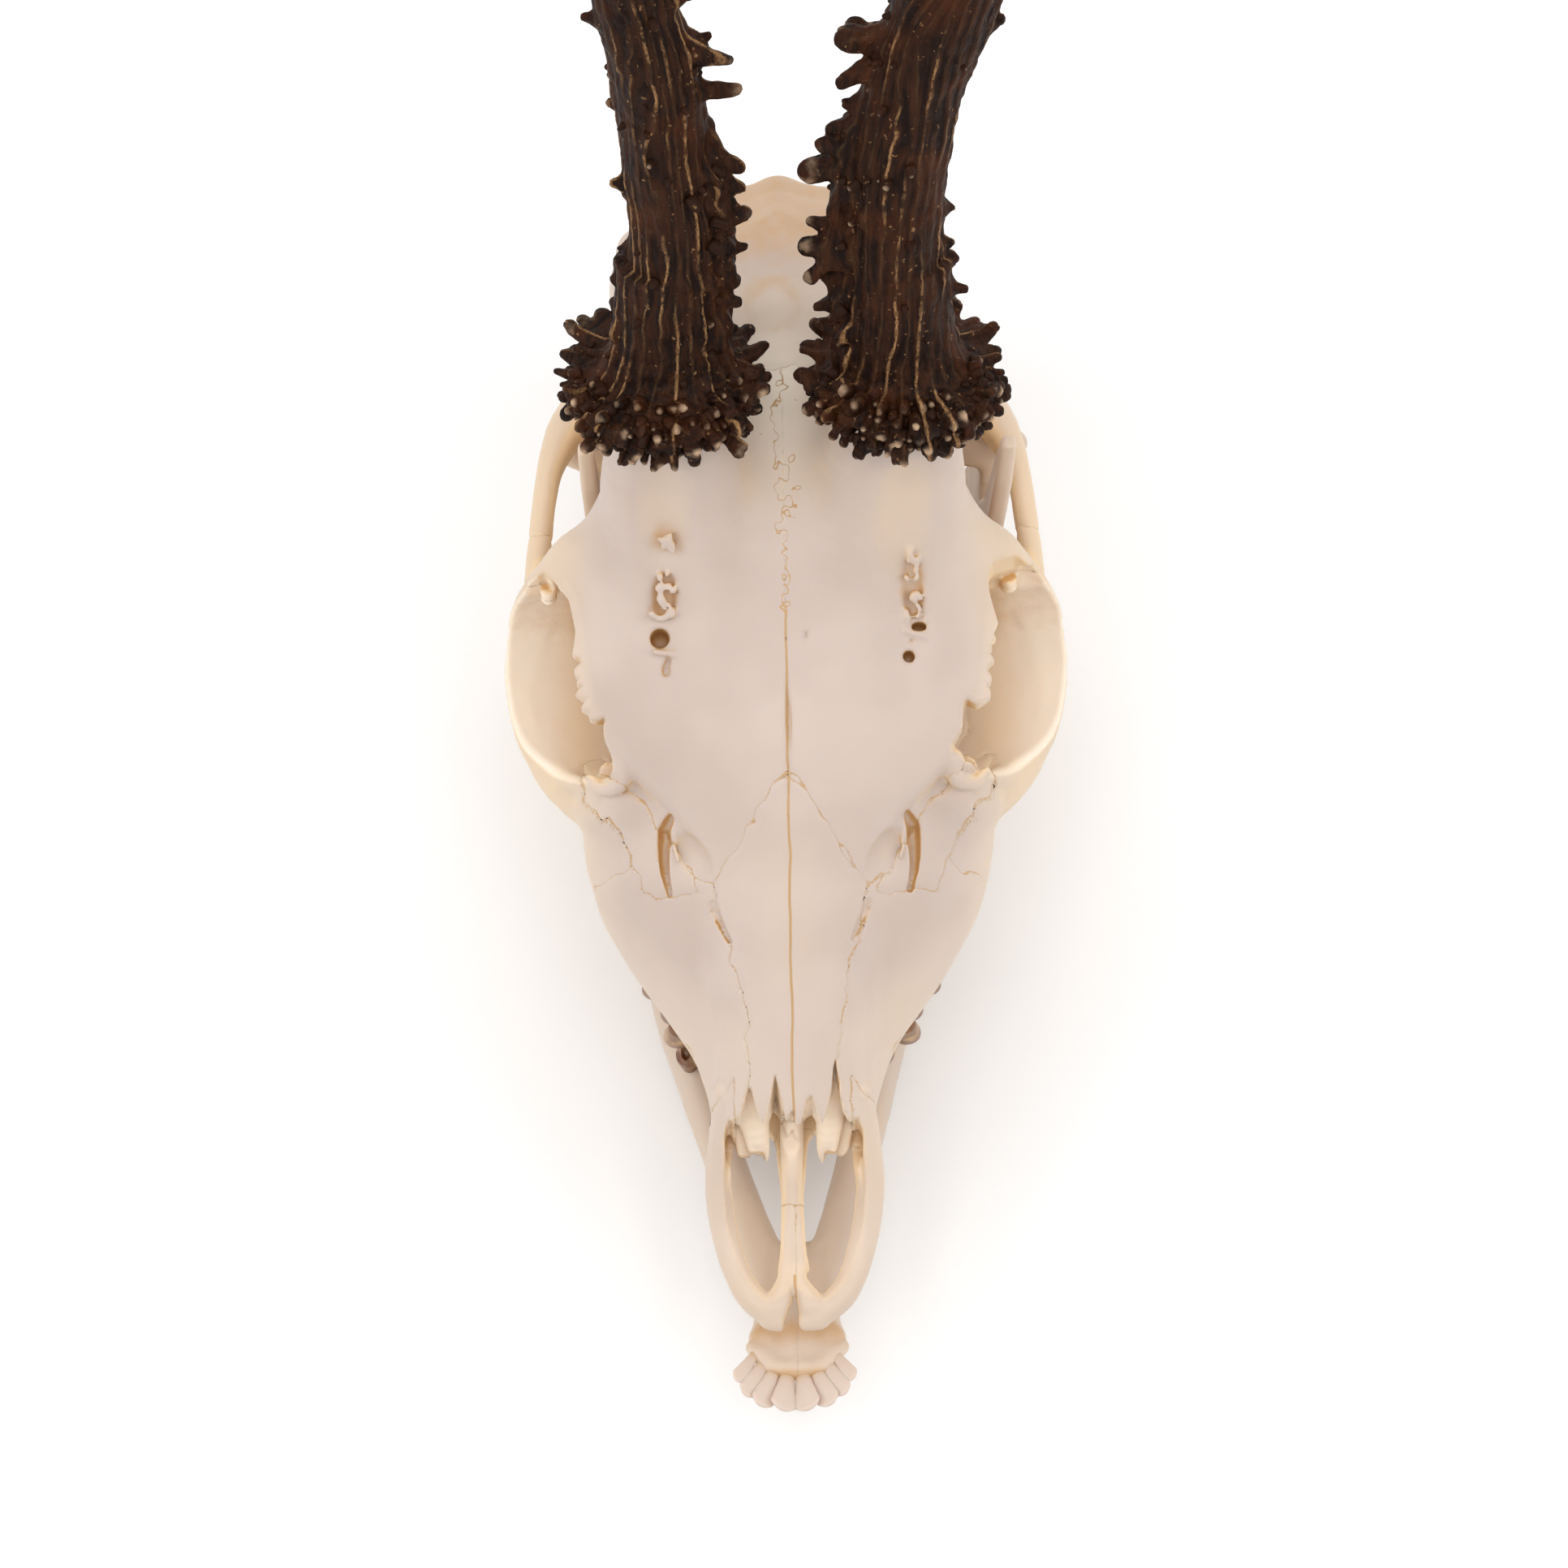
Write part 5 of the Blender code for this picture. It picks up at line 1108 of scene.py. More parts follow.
def scatter(name, template, places, extra, material):
    # places: a spot in world metres, a turn and a size for each copy
    spots, turns, sizes = zip(*places)
    points = bpy.data.meshes.new(name + "Points")
    points.from_pydata([tuple(spot) for spot in spots], [], [])
    setAttribute(points, "turn", turns, "FLOAT_VECTOR")
    setAttribute(points, "size", sizes, "FLOAT_VECTOR")
    for key, values in extra.items():
        setAttribute(points, key, values)
    piece = addObject(name, points)
    tree = scatterTree(name + "Tree", material)
    modifier = piece.modifiers.new("scatter", "NODES")
    modifier.node_group = tree
    modifier[tree.interface.items_tree["Template"].identifier] = template
    bpy.context.view_layer.update()
    graph = bpy.context.evaluated_depsgraph_get()
    mesh = bpy.data.meshes.new_from_object(piece.evaluated_get(graph))
    piece.modifiers.remove(modifier)
    piece.data = mesh
    mesh.name = name
    mesh.shade_smooth()
    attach(piece, "root")
    print("set", name, len(places))


enamelLook = {
    "white": "D6C3B4", "neck": "C9A065", "stain": "754622",
    "streaks": 260,        # to a metre: about 4 mm each
    "shader": {"Roughness": 0.35, "IOR": 1.6, "Subsurface Weight": 0.15, "Subsurface Scale": 0.001},
}


def paintEnamel(tree):
    # tooth enamel: harder and glossier than the bone, tartar and brown stain towards the neck
    neck, dirt = (addNode(tree, "ShaderNodeAttribute", output="Fac", attribute_name=name)
                  for name in ("neck", "dirt"))
    spot = addNode(tree, "ShaderNodeTexCoord", output="Object")
    streak = addNode(tree, "ShaderNodeTexNoise",
                     {"Vector": spot, "Scale": enamelLook["streaks"], "Detail": 3})
    neck = addNode(tree, "ShaderNodeMapRange", [neck, 0.3, 1], interpolation_type="SMOOTHSTEP")
    streak = addNode(tree, "ShaderNodeMapRange", [streak, 0.3, 0.55, 0.25, 1],
                     interpolation_type="SMOOTHSTEP")
    dirt = addNode(tree, "ShaderNodeMath", [dirt, streak], operation="MULTIPLY")
    colour = srgb(enamelLook["white"])
    for share, name in ((neck, "neck"), (dirt, "stain")):
        colour = addNode(tree, "ShaderNodeMix", {0: share, 6: colour, 7: srgb(enamelLook[name])}, output=2,
                         data_type="RGBA")
    return {"Base Color": colour}


def setCheekTeeth(material):
    mesh, points = molarTemplate()
    setAttribute(mesh, "neck", np.clip((4.4 - points[:, 2]) / 5, 0.7, 1))
    molar = bpy.data.objects.new("cheekTooth", mesh)
    tilt = Matrix.Rotation(rest["tilt"], 3, "X")
    for label, side in sides.items():
        for row, (z, over, slant, (frontDirt, backDirt)) in teeth["rows"].items():
            turn = tilt @ Matrix.Rotation(side * slant, 3, "Y")
            turn = turn @ Matrix.Rotation(-side * teeth["toeIn"], 3, "Z") @ Matrix.Rotation(over, 3, "Y")
            places = []
            for s, x, halfLength, halfWidth in teeth[row]:
                shift = float(jawShift(label, s, z)) if row == "lower" else 0
                places.append((place([(side * (x + shift), s, z)])[0], turn.to_euler(),
                               (halfWidth / 4.7, halfLength / 4.95, 1.0)))
            scatter(f"{row}Teeth_{label}", molar, places, {"dirt": [frontDirt] * 3 + [backDirt] * 3},
                    material)


def setIncisors(material):
    mesh, points = incisorTemplate()
    setAttribute(mesh, "neck", fade(points[:, 1], 5.5, -0.5))
    incisor = bpy.data.objects.new("incisor", mesh)
    places = []
    for side in sides.values():
        for neck, tip, width in teeth["front"]:
            ends = [Vector(place([(side * x - 0.5, s, z)])[0]) for x, s, z in (neck, tip)]
            along = ends[1] - ends[0]
            length = along.length * 1000
            along.normalize()
            across = along.cross(Vector((-side * 0.35, 0, 1))).normalized()
            turn = Matrix((across, along, across.cross(along))).transposed().to_euler()
            places.append((ends[0], turn, (width / 5.1, length / 10, width / 5.1 * 0.8)))
    scatter("incisors", incisor, places, {"dirt": [0.0] * len(places)}, material)


enamel = finishOf("toothEnamel", paintEnamel, enamelLook["shader"])
setCheekTeeth(enamel)
setIncisors(enamel)

# antlers, drawn upright on their seat: x, backwards, along the beam

antler = {
    "seat": (0, 139.5, 79.5),       # skull frame
    "lean": math.radians(33),       # the beams lean backwards
    "left": {
        "beam": [   # x, backwards, reach, radius
            (-18.9, 0, 0, 8.0), (-17.3, 0, 12, 7.2), (-16.8, 0, 29, 7), (-17.4, 0.5, 44, 6.9),
            (-18.8, 1, 59, 6.8), (-22.2, 1, 74, 6.3), (-27.5, 0.5, 98, 6.6), (-32, -1, 118, 6.8),
            (-35.5, -3, 138, 5.4), (-38, -4, 156, 5.2), (-39.5, -6, 180, 3.6), (-38.5, -9.5, 204, 1.2)],
        "hooks": [  # reach, angle from the inner side towards the front, lift, length, two radii
            (63.5, 8, -0.15, 6.0, 1.8, 1.1), (64.8, 0, 0.35, 3.4, 1.3, 0.8),
            (56.3, 5, 0.05, 5.6, 1.2, 1.15), (43.6, 5, -0.3, 4.2, 1.9, 1.3),
            (42.4, 30, -0.5, 2.4, 1.2, 0.8), (39.2, 5, -0.2, 4.2, 2.4, 1.0),
            (35.6, -10, 0.1, 3.0, 1.6, 0.8), (32.6, 5, 0.1, 4.6, 2.2, 1.1),
            (29.0, 20, -0.3, 2.8, 1.4, 0.9), (26.4, 5, 0.1, 4.2, 1.9, 1.0),
            (22.8, 40, -0.6, 2.0, 1.2, 0.8), (20.4, 5, 0, 2.8, 1.6, 1.0),
            (16.6, 5, -0.1, 3.2, 1.6, 1.1), (13.2, 15, -0.3, 2.4, 1.5, 0.9),
            (9.5, 0, 0.2, 3.0, 1.6, 1.0), (74, 10, 0.2, 3.6, 1.6, 1.0), (82, -10, 0, 3.0, 1.4, 0.9),
            (90, 0, 0.3, 4.0, 1.5, 0.9), (39, 180, 0, 1.7, 1.0, 0.7), (26.6, 178, 0, 1.4, 1.1, 0.7),
            (21, 176, -0.1, 2.2, 1.5, 0.9), (12.5, 165, -0.3, 2.2, 1.4, 1.1),
            (70, 175, 0.2, 1.6, 1.0, 0.7), (52, 200, 0, 1.5, 1.0, 0.7), (24.2, 75, -0.4, 1.2, 0.8, 0.8),
            (33, 215, 0, 2.0, 1.2, 0.8), (46, 240, 0, 1.8, 1.2, 0.8)],
        "front": [(0, 0, 0, 5.4), (-1, -11, 6, 4.4), (-2.5, -21, 18, 3.2), (-3.5, -26.6, 34, 1.2)],
        "rear": [(0, 0, 0, 4.6), (-1, 9, 6, 3.8), (-2, 17, 15, 2.7), (-2.5, 22.6, 26, 1.1)],
        "coronet": (-18.9, 0), "low": (-53, -36, -7), "high": (3, 34, 208), "seed": 5,
    },
    "right": {
        "beam": [
            (19.6, 0, 0, 8.4), (18.4, 0, 14, 8), (17.9, 0, 29, 7.8), (19, 0.5, 44, 7.9),
            (21.8, 1, 58, 7.7), (27, 1, 74, 8), (34, 0.5, 98, 7.2), (39.5, -1, 118, 7),
            (43, -3, 138, 5.6), (45, -4, 156, 5.2), (45.5, -6, 180, 3.6), (43.8, -9.5, 204, 1.2)],
        "hooks": [
            (64.6, 0, 0.1, 5.0, 2.4, 2.3), (63.4, -15, 0.4, 4.6, 2.0, 1.6),
            (60.2, 12, -0.35, 5.2, 2.0, 1.3), (52.6, 0, 0.2, 2.4, 1.5, 0.9),
            (48.8, 0, -0.15, 3.8, 1.6, 1.1), (45.2, 5, 0.2, 4.6, 1.9, 1.4),
            (41.4, 0, -0.15, 6.0, 2.6, 2.2), (38.4, 20, -0.8, 4.4, 1.8, 1.1),
            (36, 48, -0.9, 1.6, 1.1, 0.8), (30, 0, 0.2, 5.2, 2.1, 1.2), (26.6, 5, 0.1, 5.6, 2.8, 1.9),
            (25.4, 12, -0.5, 6.6, 2.0, 1.2), (21, 0, -0.2, 3.0, 1.8, 1.1),
            (15.6, 5, -0.1, 4.4, 2.2, 1.2), (12.4, 25, -0.5, 2.6, 1.4, 0.9),
            (10, 0, 0.2, 4.2, 2.0, 1.2), (76, 5, 0.1, 4.6, 1.8, 1.2), (86, -5, 0.3, 4.0, 1.6, 1.0),
            (33, 180, 0, 1.4, 1.0, 0.7), (26.6, 178, 0, 1.2, 1.0, 0.7),
            (23.6, 176, -0.1, 1.8, 1.1, 0.8), (17.8, 175, 0, 3.0, 1.5, 0.9),
            (68, 178, 0.2, 1.6, 1.1, 0.8), (46, 215, 0, 1.8, 1.2, 0.8), (35, 235, 0, 2.0, 1.2, 0.8),
            (57, 240, 0, 1.8, 1.1, 0.8)],
        "front": [(0, 0, 0, 5.6), (1, -11, 6, 4.6), (2.5, -21, 18, 3.3), (3.5, -26.6, 34, 1.2)],
        "rear": [(0, 0, 0, 4.6), (1, 9, 6, 3.8), (2, 17, 15, 2.7), (2.5, 22.6, 26, 1.1)],
        "coronet": (19.6, 0), "low": (-3, -36, -7), "high": (53, 34, 208), "seed": 11,
    },
    "frontFork": 116, "rearFork": 156,      # mm up the beam
    "ridges": 21,
    # how the ridges wander: stretch along and around, seed, size in mm, reach in ridges
    "wander": ((1, 7, 7, 24, 0.9), (1, 14, 5, 7, 0.26), (1, 14, 2, 2.6, 0.13), (0.1, 9, 3, 5, 0.6)),
    "rays": 38,         # round the coronet
    "beamPearls": 150,  # tried for along each beam
    # rings of lumps and pearls on the coronet: radius, height, how many, lift
    "lumps": ((11.6, 3.2, 20, 0.5), (13.4, 1.2, 34, 0.15), (14.4, -0.6, 42, -0.25), (14.2, -2.4, 40, -0.8),
              (12.4, -3.2, 30, -1.2)),
}


def antlerToSkull(points):
    c, t = math.cos(antler["lean"]), math.sin(antler["lean"])
    x, back, up = np.asarray(points).T
    x0, s0, z0 = antler["seat"]
    return np.stack([x0 + x, s0 + t * up + c * back, z0 + c * up - t * back], 1)


def beamAt(points, reach):
    # x, back and radius of a beam or tine this far up
    rows = np.asarray(points)
    return [np.interp(reach, rows[:, 2], rows[:, column]) for column in (0, 1, 3)]


def branchesOf(a):
    # the beam, and the two tines where they grow from it
    paths = [a["beam"]]
    for name in ("front", "rear"):
        start = antler[name + "Fork"]
        x0, b0, _ = beamAt(a["beam"], start)
        paths.append([(x0 + x, b0 + b, start + up, r) for x, b, up, r in a[name]])
    return paths


def antlerField(a, side):
    field = newField(a["low"], a["high"], grid["antler"])
    for path, blend in zip(branchesOf(a), (1, 5, 4)):
        bar(field, path, blend)
    # the coronet flares from the beam like a trumpet
    x0, b0 = a["coronet"]
    cut, x, b, up = window(field, (x0 - 20, b0 - 20, -7), (x0 + 20, b0 + 20, 24))
    ring = np.sqrt((x - x0) ** 2 + (b - b0) ** 2)
    angle = np.arctan2(b - b0, x - x0)
    wave = 0.5 * np.sin(3 * angle + a["seed"]) + 0.35 * np.sin(7 * angle + 2 * a["seed"])
    flare = 7.2 + (7.6 + wave) * np.exp(-np.maximum(up + 0.4, 0) / 4.6)
    flare = flare - 1.6 * np.maximum(-0.4 - up, 0)
    cup = np.maximum((ring - flare) * 0.75, -3.2 - up)
    merge(field, cut, cup, 1.6)
    # lobed rays round its edge
    rng = np.random.default_rng(a["seed"])
    for number in range(antler["rays"]):
        turn = 2 * math.pi * (number + rng.uniform(-0.35, 0.35)) / antler["rays"]
        c, t = math.cos(turn), math.sin(turn)
        front = max(0.0, -t)            # the front is crowded with pearls instead
        back = max(0.0, t)
        inner = max(0.0, -side * c)
        long = 15.8 + rng.uniform(-1.6, 1.4) - 0.8 * front + 3 * back - 1.4 * inner
        rise = rng.uniform(-0.8, 1.8) - 0.8 * front + 1.5 * back
        thick = rng.uniform(1.0, 1.7) + 0.5 * back
        bar(field, [(x0 + 11 * c, b0 + 11 * t, 1.2, thick + 0.5),
                    (x0 + (long - 2) * c, b0 + (long - 2) * t, 0.4 + 0.6 * rise, thick * 0.9),
                    (x0 + long * c, b0 + long * t, 0.4 + rise, thick * 0.75)], 1.5,
            flat=((0, 0, 1), 1.4), finer=2)
        split = turn + rng.uniform(-0.1, 0.1)
        c, t = math.cos(split), math.sin(split)
        end = long - 0.6
        bar(field, [(x0 + 13 * c, b0 + 13 * t, 0.2 - rise, 0.9),
                    (x0 + end * c, b0 + end * t, -1 + rng.uniform(-1.6, 1), 0.7)], 0.7, finer=2)
    # stubby fused lumps crowding the front and the underside of the rim
    tips = []
    for ring, up, count, lift in antler["lumps"]:
        for number in range(count):
            turn = 2 * math.pi * (number + rng.uniform(-0.4, 0.4)) / count
            if rng.random() > 0.3 + 0.75 * -math.sin(turn):
                continue
            out = Vector((math.cos(turn), math.sin(turn), lift + rng.uniform(-0.35, 0.35))).normalized()
            base = Vector((x0 + ring * math.cos(turn), b0 + ring * math.sin(turn),
                           up + rng.uniform(-0.6, 0.6)))
            tip = base + out * rng.uniform(1.2, 3.6)
            r0 = rng.uniform(0.85, 1.4)
            r1 = r0 * rng.uniform(0.6, 1.05)
            bar(field, [(*(base - out), r0), (*base.lerp(tip, 0.5), (r0 + r1) / 2.2),
                        (*tip, r1)], 0.5, finer=1)
            tips.append((*(tip + out * r1), rng.uniform(0.1, 1)))
    # uneven flange up the inner side, which carries the knobs
    flange = []
    for reach in np.arange(4, 50, 3.0):
        cx, cb, r = beamAt(a["beam"], reach)
        out = r + 0.4 + 0.9 * rng.random()
        sway = rng.uniform(-0.3, 0.3)
        flange.append((cx - side * out * math.cos(sway), cb - out * math.sin(sway), reach,
                       (1.4 + rng.random()) * min(1, (52 - reach) / 16)))
    bar(field, flange, 2, finer=3)
    # knobs and hooks, most of them on the inner side
    for reach, angle, lift, long, r0, r1 in a["hooks"]:
        cx, cb, r = beamAt(a["beam"], reach)
        c, t = -side * math.cos(math.radians(angle)), -math.sin(math.radians(angle))
        tip = long * math.sqrt(1 - lift * lift)
        path = []
        for share, radius in ((-0.3, r0 * 1.3), (0.1, r0 * 1.15), (0.5, (r0 + r1) / 2 * 0.92), (0.85, r1),
                              (1, r1 * 0.9)):
            out = r + tip * share
            path.append((cx + out * c, cb + out * t, reach + long * lift * share * abs(share), radius))
        bar(field, path, 1.2, finer=3)
    return field, tips


def barkPhase(a, points):
    # which lengthwise ridge a place lies on, how far up, and how far from the axis
    paths = [smoothPath(path) for path in branchesOf(a)]
    best = np.full(len(points), 1e9)
    centre = np.zeros((len(points), 2))
    up = points[:, 2]
    for path in paths:
        cx, cb, r = beamAt(path, up)
        far = np.hypot(points[:, 0] - cx, points[:, 1] - cb) - r
        far += np.maximum(0, path[0, 2] + 2 - up) * (path is not paths[0]) * 10
        closer = far < best
        best = np.where(closer, far, best)
        centre[closer] = np.stack([cx, cb], 1)[closer]
    dx, db = points[:, 0] - centre[:, 0], points[:, 1] - centre[:, 1]
    angle = np.arctan2(dx, -db)             # zero at the front, the jump lies at the back

    def count(angle):
        wobble = 0
        for along, around, shift, size, reach in antler["wander"]:
            spots = np.stack([along * up, around * angle, 0 * up + a["seed"] * shift], 1)
            wobble = wobble + noise(spots, size) * reach
        return antler["ridges"] * (angle + math.pi) / (2 * math.pi) + wobble

    ring = np.hypot(dx, db)
    pitch = ring * 0.08 / np.maximum(count(angle + 0.04) - count(angle - 0.04), 0.03)
    return count(angle), up, ring, pitch


def ridgeStrength(a, phase, up):
    number = np.round(phase)
    spots = np.stack([up / 13, number * 3.7, 0 * up + a["seed"]], 1)
    strength = np.clip((noise(spots, 1) * 1.2 - 0.12) * 1.8, 0, 1)
    return 0.1 + 0.9 * strength


antlerLook = {
    "dark": "180B06", "brown": "3B2010", "red": "54290E", "crest": "A07850", "tip": "C2A284",
    "ivory": "B79A73",
    "streak": (2.2, 0.12, 1),       # how fine across the ridges, along them and outwards
    "noises": {    # to a metre, detail: clouds of 9 mm, roughness of 2.5 mm, specks of 1 mm
        "cloud": (110, 3), "rough": (420, 3), "speck": (900, 2)},
    "shader": {"Roughness": 0.58, "IOR": 1.5, "Specular IOR Level": 0.12},
}


def paintBark(tree):
    # antler: dark brown bark over bone, matt in the furrows and polished pale along crests, pearls and tips
    mark = {name: addNode(tree, "ShaderNodeAttribute", output="Fac", attribute_name=name)
            for name in ("pitch", "ridge", "wear", "dull", "ivory")}
    # the bark vector holds the number of the ridge, the millimetres up and the radius
    spot = addNode(tree, "ShaderNodeAttribute", output="Vector", attribute_name="bark")
    phase = addNode(tree, "ShaderNodeSeparateXYZ", [spot])
    solid = addNode(tree, "ShaderNodeTexCoord", output="Object")
    drawn = {name: addNode(tree, "ShaderNodeTexNoise", {"Vector": solid, "Scale": scale, "Detail": detail})
             for name, (scale, detail) in antlerLook["noises"].items()}
    lengthwise = addNode(tree, "ShaderNodeVectorMath", [spot, antlerLook["streak"]], operation="MULTIPLY")
    streak = addNode(tree, "ShaderNodeTexNoise",
                     {"Vector": lengthwise, "Scale": 1, "Detail": 4, "Roughness": 0.6})
    gaps = addNode(tree, "ShaderNodeTexNoise",
                   {"Vector": spot, "Scale": 0.34, "Detail": 3, "Roughness": 0.65})
    # millimetres from the nearest crest, frayed
    off = addNode(tree, "ShaderNodeMath", [phase, 0.5], operation="PINGPONG")
    off = addNode(tree, "ShaderNodeMath", [off, mark["pitch"]], operation="MULTIPLY")
    off = addNode(tree, "ShaderNodeMath", [drawn["speck"], 0.8, off], operation="MULTIPLY_ADD")
    wear = addNode(tree, "ShaderNodeMath", [mark["wear"], mark["dull"]], operation="SUBTRACT")
    wear = addNode(tree, "ShaderNodeMath", [drawn["speck"], 0.5, wear], operation="MULTIPLY_ADD")
    # where each thing shows: what it is read from, from where to where, and how much
    shown = {name: addNode(tree, "ShaderNodeMapRange", settings, interpolation_type="SMOOTHSTEP")
             for name, settings in {
                 "brown": [streak, 0.35, 0.7], "red": [drawn["cloud"], 0.45, 0.8, 0, 0.5],
                 "crest": [off, 0.74, 0.5], "gaps": [gaps, 0.38, 0.54, 0.12, 1],
                 "grit": [drawn["speck"], 0.35, 0.6, 0.35, 1], "dots": [drawn["speck"], 0.66, 0.76, 0, 0.6],
                 "tip": [wear, 0.5, 1.35]}.items()}
    crest = shown["crest"]
    for share in (mark["ridge"], shown["gaps"], shown["grit"]):
        crest = addNode(tree, "ShaderNodeMath", [crest, share], operation="MULTIPLY")
    colour = srgb(antlerLook["dark"])
    for share, name in ((shown["brown"], "brown"), (shown["red"], "red"), (crest, "crest"),
                        (shown["dots"], "crest"), (shown["tip"], "tip"), (mark["ivory"], "ivory")):
        colour = addNode(tree, "ShaderNodeMix", {0: share, 6: colour, 7: srgb(antlerLook[name])}, output=2,
                         data_type="RGBA")
    height = addNode(tree, "ShaderNodeMath", [streak, drawn["rough"]], operation="ADD")
    height = addNode(tree, "ShaderNodeMath", [drawn["speck"], 0.4, height], operation="MULTIPLY_ADD")
    bump = addNode(tree, "ShaderNodeBump", {"Strength": 0.7, "Distance": 0.0007, "Height": height})
    return {"Base Color": colour, "Normal": bump}


def pearlTemplate():
    # stubby pearl along z from 0 to 1: eight round, seven faces high, blunt and a little knotted
    around = 8
    verts, faces = [], []
    for height, radius in ((0.0, 0.66), (0.25, 0.6), (0.5, 0.54), (0.72, 0.44), (0.88, 0.32), (0.97, 0.16)):
        for k in range(around):
            turn = 2 * math.pi * k / around
            r = radius * (1 + 0.12 * math.sin(3 * turn + height * 5))
            verts.append((r * math.cos(turn) / 1000, r * math.sin(turn) / 1000, height / 1000))
    top, base, last = len(verts), len(verts) + 1, len(verts) - around
    verts += [(0, 0, 0.001), (0, 0, 0)]
    for k in range(around):
        n = (k + 1) % around
        faces += [(low + k, low + n, low + around + n, low + around + k) for low in range(0, last, around)]
        faces += [(last + k, last + n, top), (n, k, base)]
    mesh = bpy.data.meshes.new("pearl")
    mesh.from_pydata(verts, [], faces)
    setAttribute(mesh, "wear", [max(0.0, z * 1000 - 0.55) * 1.7 for _, _, z in verts])
    return bpy.data.objects.new("pearl", mesh)


def pearlSpots(a, side):
    # pearls crowd the front of the coronet and follow the ridges up the beam
    rng = np.random.default_rng(a["seed"] + 100)
    x0, b0 = a["coronet"]
    wanted = []
    for ring, up, count, lift in antler["lumps"]:
        for number in range(count):
            turn = 2 * math.pi * (number + rng.uniform(-0.35, 0.35)) / count
            front = -math.sin(turn)
            if rng.random() > 0.42 + 0.6 * front and up > -2:
                continue
            out = Vector((math.cos(turn), math.sin(turn), lift + rng.uniform(-0.3, 0.3))).normalized()
            spot = np.array([x0 + ring * math.cos(turn), b0 + ring * math.sin(turn),
                             up + rng.uniform(-0.5, 0.5)])
            wide = rng.uniform(1.1, 2.0)
            wanted.append((spot, out, wide, wide * rng.uniform(0.7, 1.2)))
    for _ in range(antler["beamPearls"]):
        reach = rng.uniform(5, 100)
        turn = rng.uniform(-math.pi, math.pi)
        inner = -side * math.sin(turn)
        if rng.random() > 0.35 + 0.5 * max(0, inner) - 0.004 * reach:
            continue
        cx, cb, r = beamAt(a["beam"], reach)
        spot = np.array([cx + r * math.sin(turn), cb - r * math.cos(turn), reach])
        out = Vector((math.sin(turn), -math.cos(turn), rng.uniform(-0.8, 0.1))).normalized()
        big = rng.uniform(0.7, 1.5) * (1.3 if inner > 0.5 else 1)
        wanted.append((spot, out, big, big * rng.uniform(0.7, 1.3)))
    return wanted


def finishAntler(label, side, pearl, material):
    a = antler[label]
    field, lumps = antlerField(a, side)
    points, quads, _, slope = skinOf(field, field)
    phase, up, ring, pitch = barkPhase(a, points)
    strength = ridgeStrength(a, phase, up)
    # crests with a furrow on each side, fading towards the tips, over a fine unevenness
    off = np.abs(phase - np.round(phase)) * pitch
    young = fade(up, 150, 90)
    height = strength * np.clip(1 - off / 0.7, 0, 1) * 0.5 * young
    height += noise(points, 5) * 0.25 + noise(points, 1.8) * 0.2 + noise(points, 1.0) * 0.1
    height -= 0.3 * young * np.clip(1 - np.abs(off - 1.2) / 0.5, 0, 1)
    # what stands out is worn pale
    x, back, thick = beamAt(a["beam"], up)
    beyond = np.hypot(points[:, 0] - x, points[:, 1] - back) - thick
    patchy = np.clip(noise(points, 3.2) * 1.6 + 0.5, 0, 1)
    wear = fade(beyond, 3.2, 6.2) * (up > 6) * 0.6 * (up < 105) * patchy
    wear += fade(ring, 16, 18.4) * (up < 6) * 0.5 * patchy
    for *spot, bright in lumps:
        wear = np.maximum(wear, bright * np.clip(1.25 - np.linalg.norm(points - spot, axis=1) / 1.3, 0, 1))
    far = np.min([np.linalg.norm(points - path[-1][:3], axis=1) for path in branchesOf(a)], 0)
    points = points + slope * height[:, None]
    mesh = meshOf(f"antler_{label}_bark", antlerToSkull(points), quads)
    for key, values in (("ridge", strength * young), ("pitch", pitch), ("wear", wear),
                        ("ivory", fade(far, 22, 0) ** 0.8)):
        setAttribute(mesh, key, values)
    # stored per corner, so that the numbers run on where the last ridge meets the first
    vertex = np.zeros(len(mesh.loops), np.int32)
    mesh.loops.foreach_get("vertex_index", vertex)
    number = phase[vertex].reshape(-1, 4)
    jumped = number.max(1, keepdims=True) - number > antler["ridges"] / 2
    number = np.where(jumped, number + antler["ridges"], number)
    numbered = np.stack([number.ravel(), up[vertex], ring[vertex]], 1)
    setAttribute(mesh, "bark", numbered, "FLOAT_VECTOR", "CORNER")
    mesh.materials.append(material)
    piece = addObject(f"antler_{label}_bark", mesh)
    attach(piece, "root")
    for part in ("beam", "front_tine", "rear_tine", "top_tine", "upper_beam"):
        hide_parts(f"antler_{label}_{part}")
    print("antler", label, len(mesh.polygons))
    places = []
    for spot, out, wide, long in pearlSpots(a, side):
        near = points[np.argmin(((points - spot) ** 2).sum(1))]
        if np.linalg.norm(near - spot) > 3:
            continue
        ends = place(antlerToSkull(np.array([near - 0.4 * np.array(out), near + 0.6 * np.array(out)])))
        turn = Vector(ends[1] - ends[0]).normalized().to_track_quat("Z", "Y").to_euler()
        places.append((ends[0], turn, (wide, wide, long + 0.4)))
    dull = np.random.default_rng(a["seed"]).uniform(0, 0.9, 600)
    scatter(f"antler_{label}_pearls", pearl, places, {"dull": dull[:len(places)]}, material)


bark = finishOf("antlerBark", paintBark, antlerLook["shader"])
pearlShape = pearlTemplate()
for label, side in sides.items():
    finishAntler(label, side, pearlShape, bark)

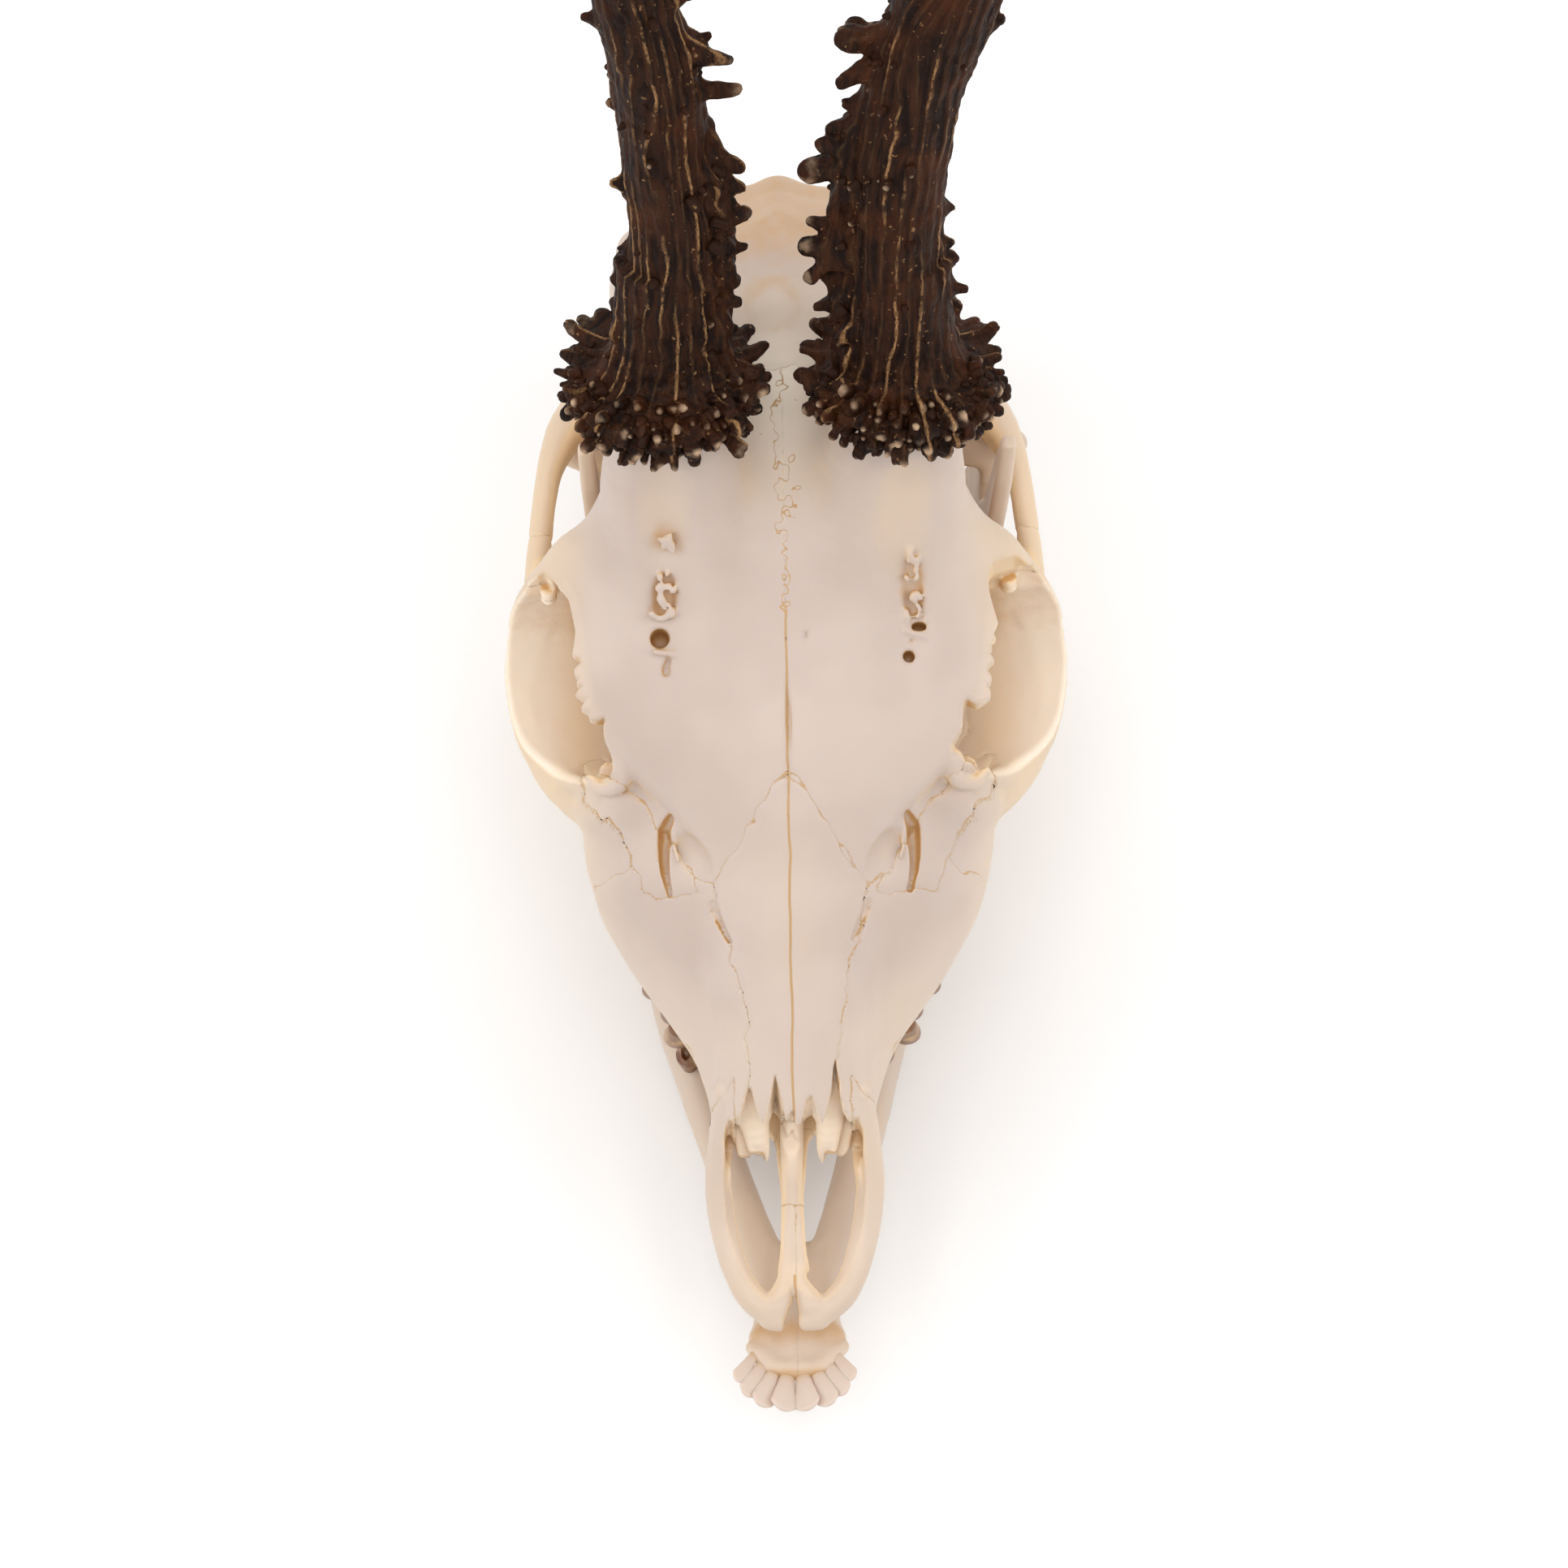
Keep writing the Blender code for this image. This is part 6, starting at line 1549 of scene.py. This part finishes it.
view = {
    "lean": math.radians(16),       # between the skull's z axis and the line of sight
    "roll": 0.0168,         # radians
    "distance": 1100.0,     # mm
    "aim": (-0.68, 87.28, 25.03),
    "frameWidth": 261.1,    # mm that the picture's width spans at the aim
}
studio = {
    "floor": {"Base Color": srgb("FAFAFA"), "Roughness": 0.9, "Specular IOR Level": 0.1},
    "sky": 0.6,
    "lamps": {     # place and size in m, watts
        "leftSoftbox": ((-1.1, -0.2, 0.9), (0.8, 1.2), 5.6),
        "rightSoftbox": ((1.1, -0.2, 0.9), (0.8, 1.2), 5.2),
        "frontSoftbox": ((0, -0.45, 1.6), (1.2, 0.8), 7.6),
        "backSoftbox": ((0, 0.8, 1.2), (1.0, 0.6), 4),
    },
    "lampAim": (0, 0, 0.08),
}


def addCamera():
    toCamera = Vector(tilted @ (0, -math.sin(view["lean"]), math.cos(view["lean"])))
    up = Vector(tilted @ (0, math.cos(view["lean"]), math.sin(view["lean"])))
    right = Vector((1, 0, 0))
    rolledUp = (up + view["roll"] * right).normalized()
    rolledRight = (right - view["roll"] * up).normalized()
    camera = bpy.data.cameras.new("camera")
    camera.sensor_width = 36
    camera.lens = 36 * view["distance"] / view["frameWidth"]
    camera.clip_start = 0.05
    holder = addObject("camera", camera)
    spot = Vector(place([view["aim"]])[0]) + toCamera * view["distance"] / 1000
    turn = Matrix((rolledRight, rolledUp, toCamera)).transposed().to_4x4()
    holder.matrix_world = Matrix.Translation(spot) @ turn
    bpy.context.scene.camera = holder


def addFloor():
    bm = bmesh.new()
    bmesh.ops.create_grid(bm, x_segments=1, y_segments=1, size=4)
    mesh = bpy.data.meshes.new("floor")
    bm.to_mesh(mesh)
    bm.free()
    mesh.materials.append(finishOf("paleFloor", None, studio["floor"]))     # matt white board
    floor = addObject("floor", mesh)


def addLight():
    world = bpy.data.worlds.new("studio")
    world.use_nodes = True
    background = world.node_tree.nodes["Background"]
    background.inputs["Color"].default_value = (1, 1, 1, 1)
    background.inputs["Strength"].default_value = studio["sky"]
    bpy.context.scene.world = world
    for name, (spot, size, power) in studio["lamps"].items():
        lamp = bpy.data.lights.new(name, "AREA")
        lamp.shape = "RECTANGLE"
        lamp.size, lamp.size_y = size
        lamp.energy = power
        holder = addObject(name, lamp)
        holder.location = spot
        toAim = Vector(studio["lampAim"]) - Vector(spot)
        holder.rotation_euler = toAim.to_track_quat("-Z", "Y").to_euler()
    bpy.context.scene.view_settings.view_transform = "Standard"


addCamera()
addFloor()
addLight()
print("studio set")
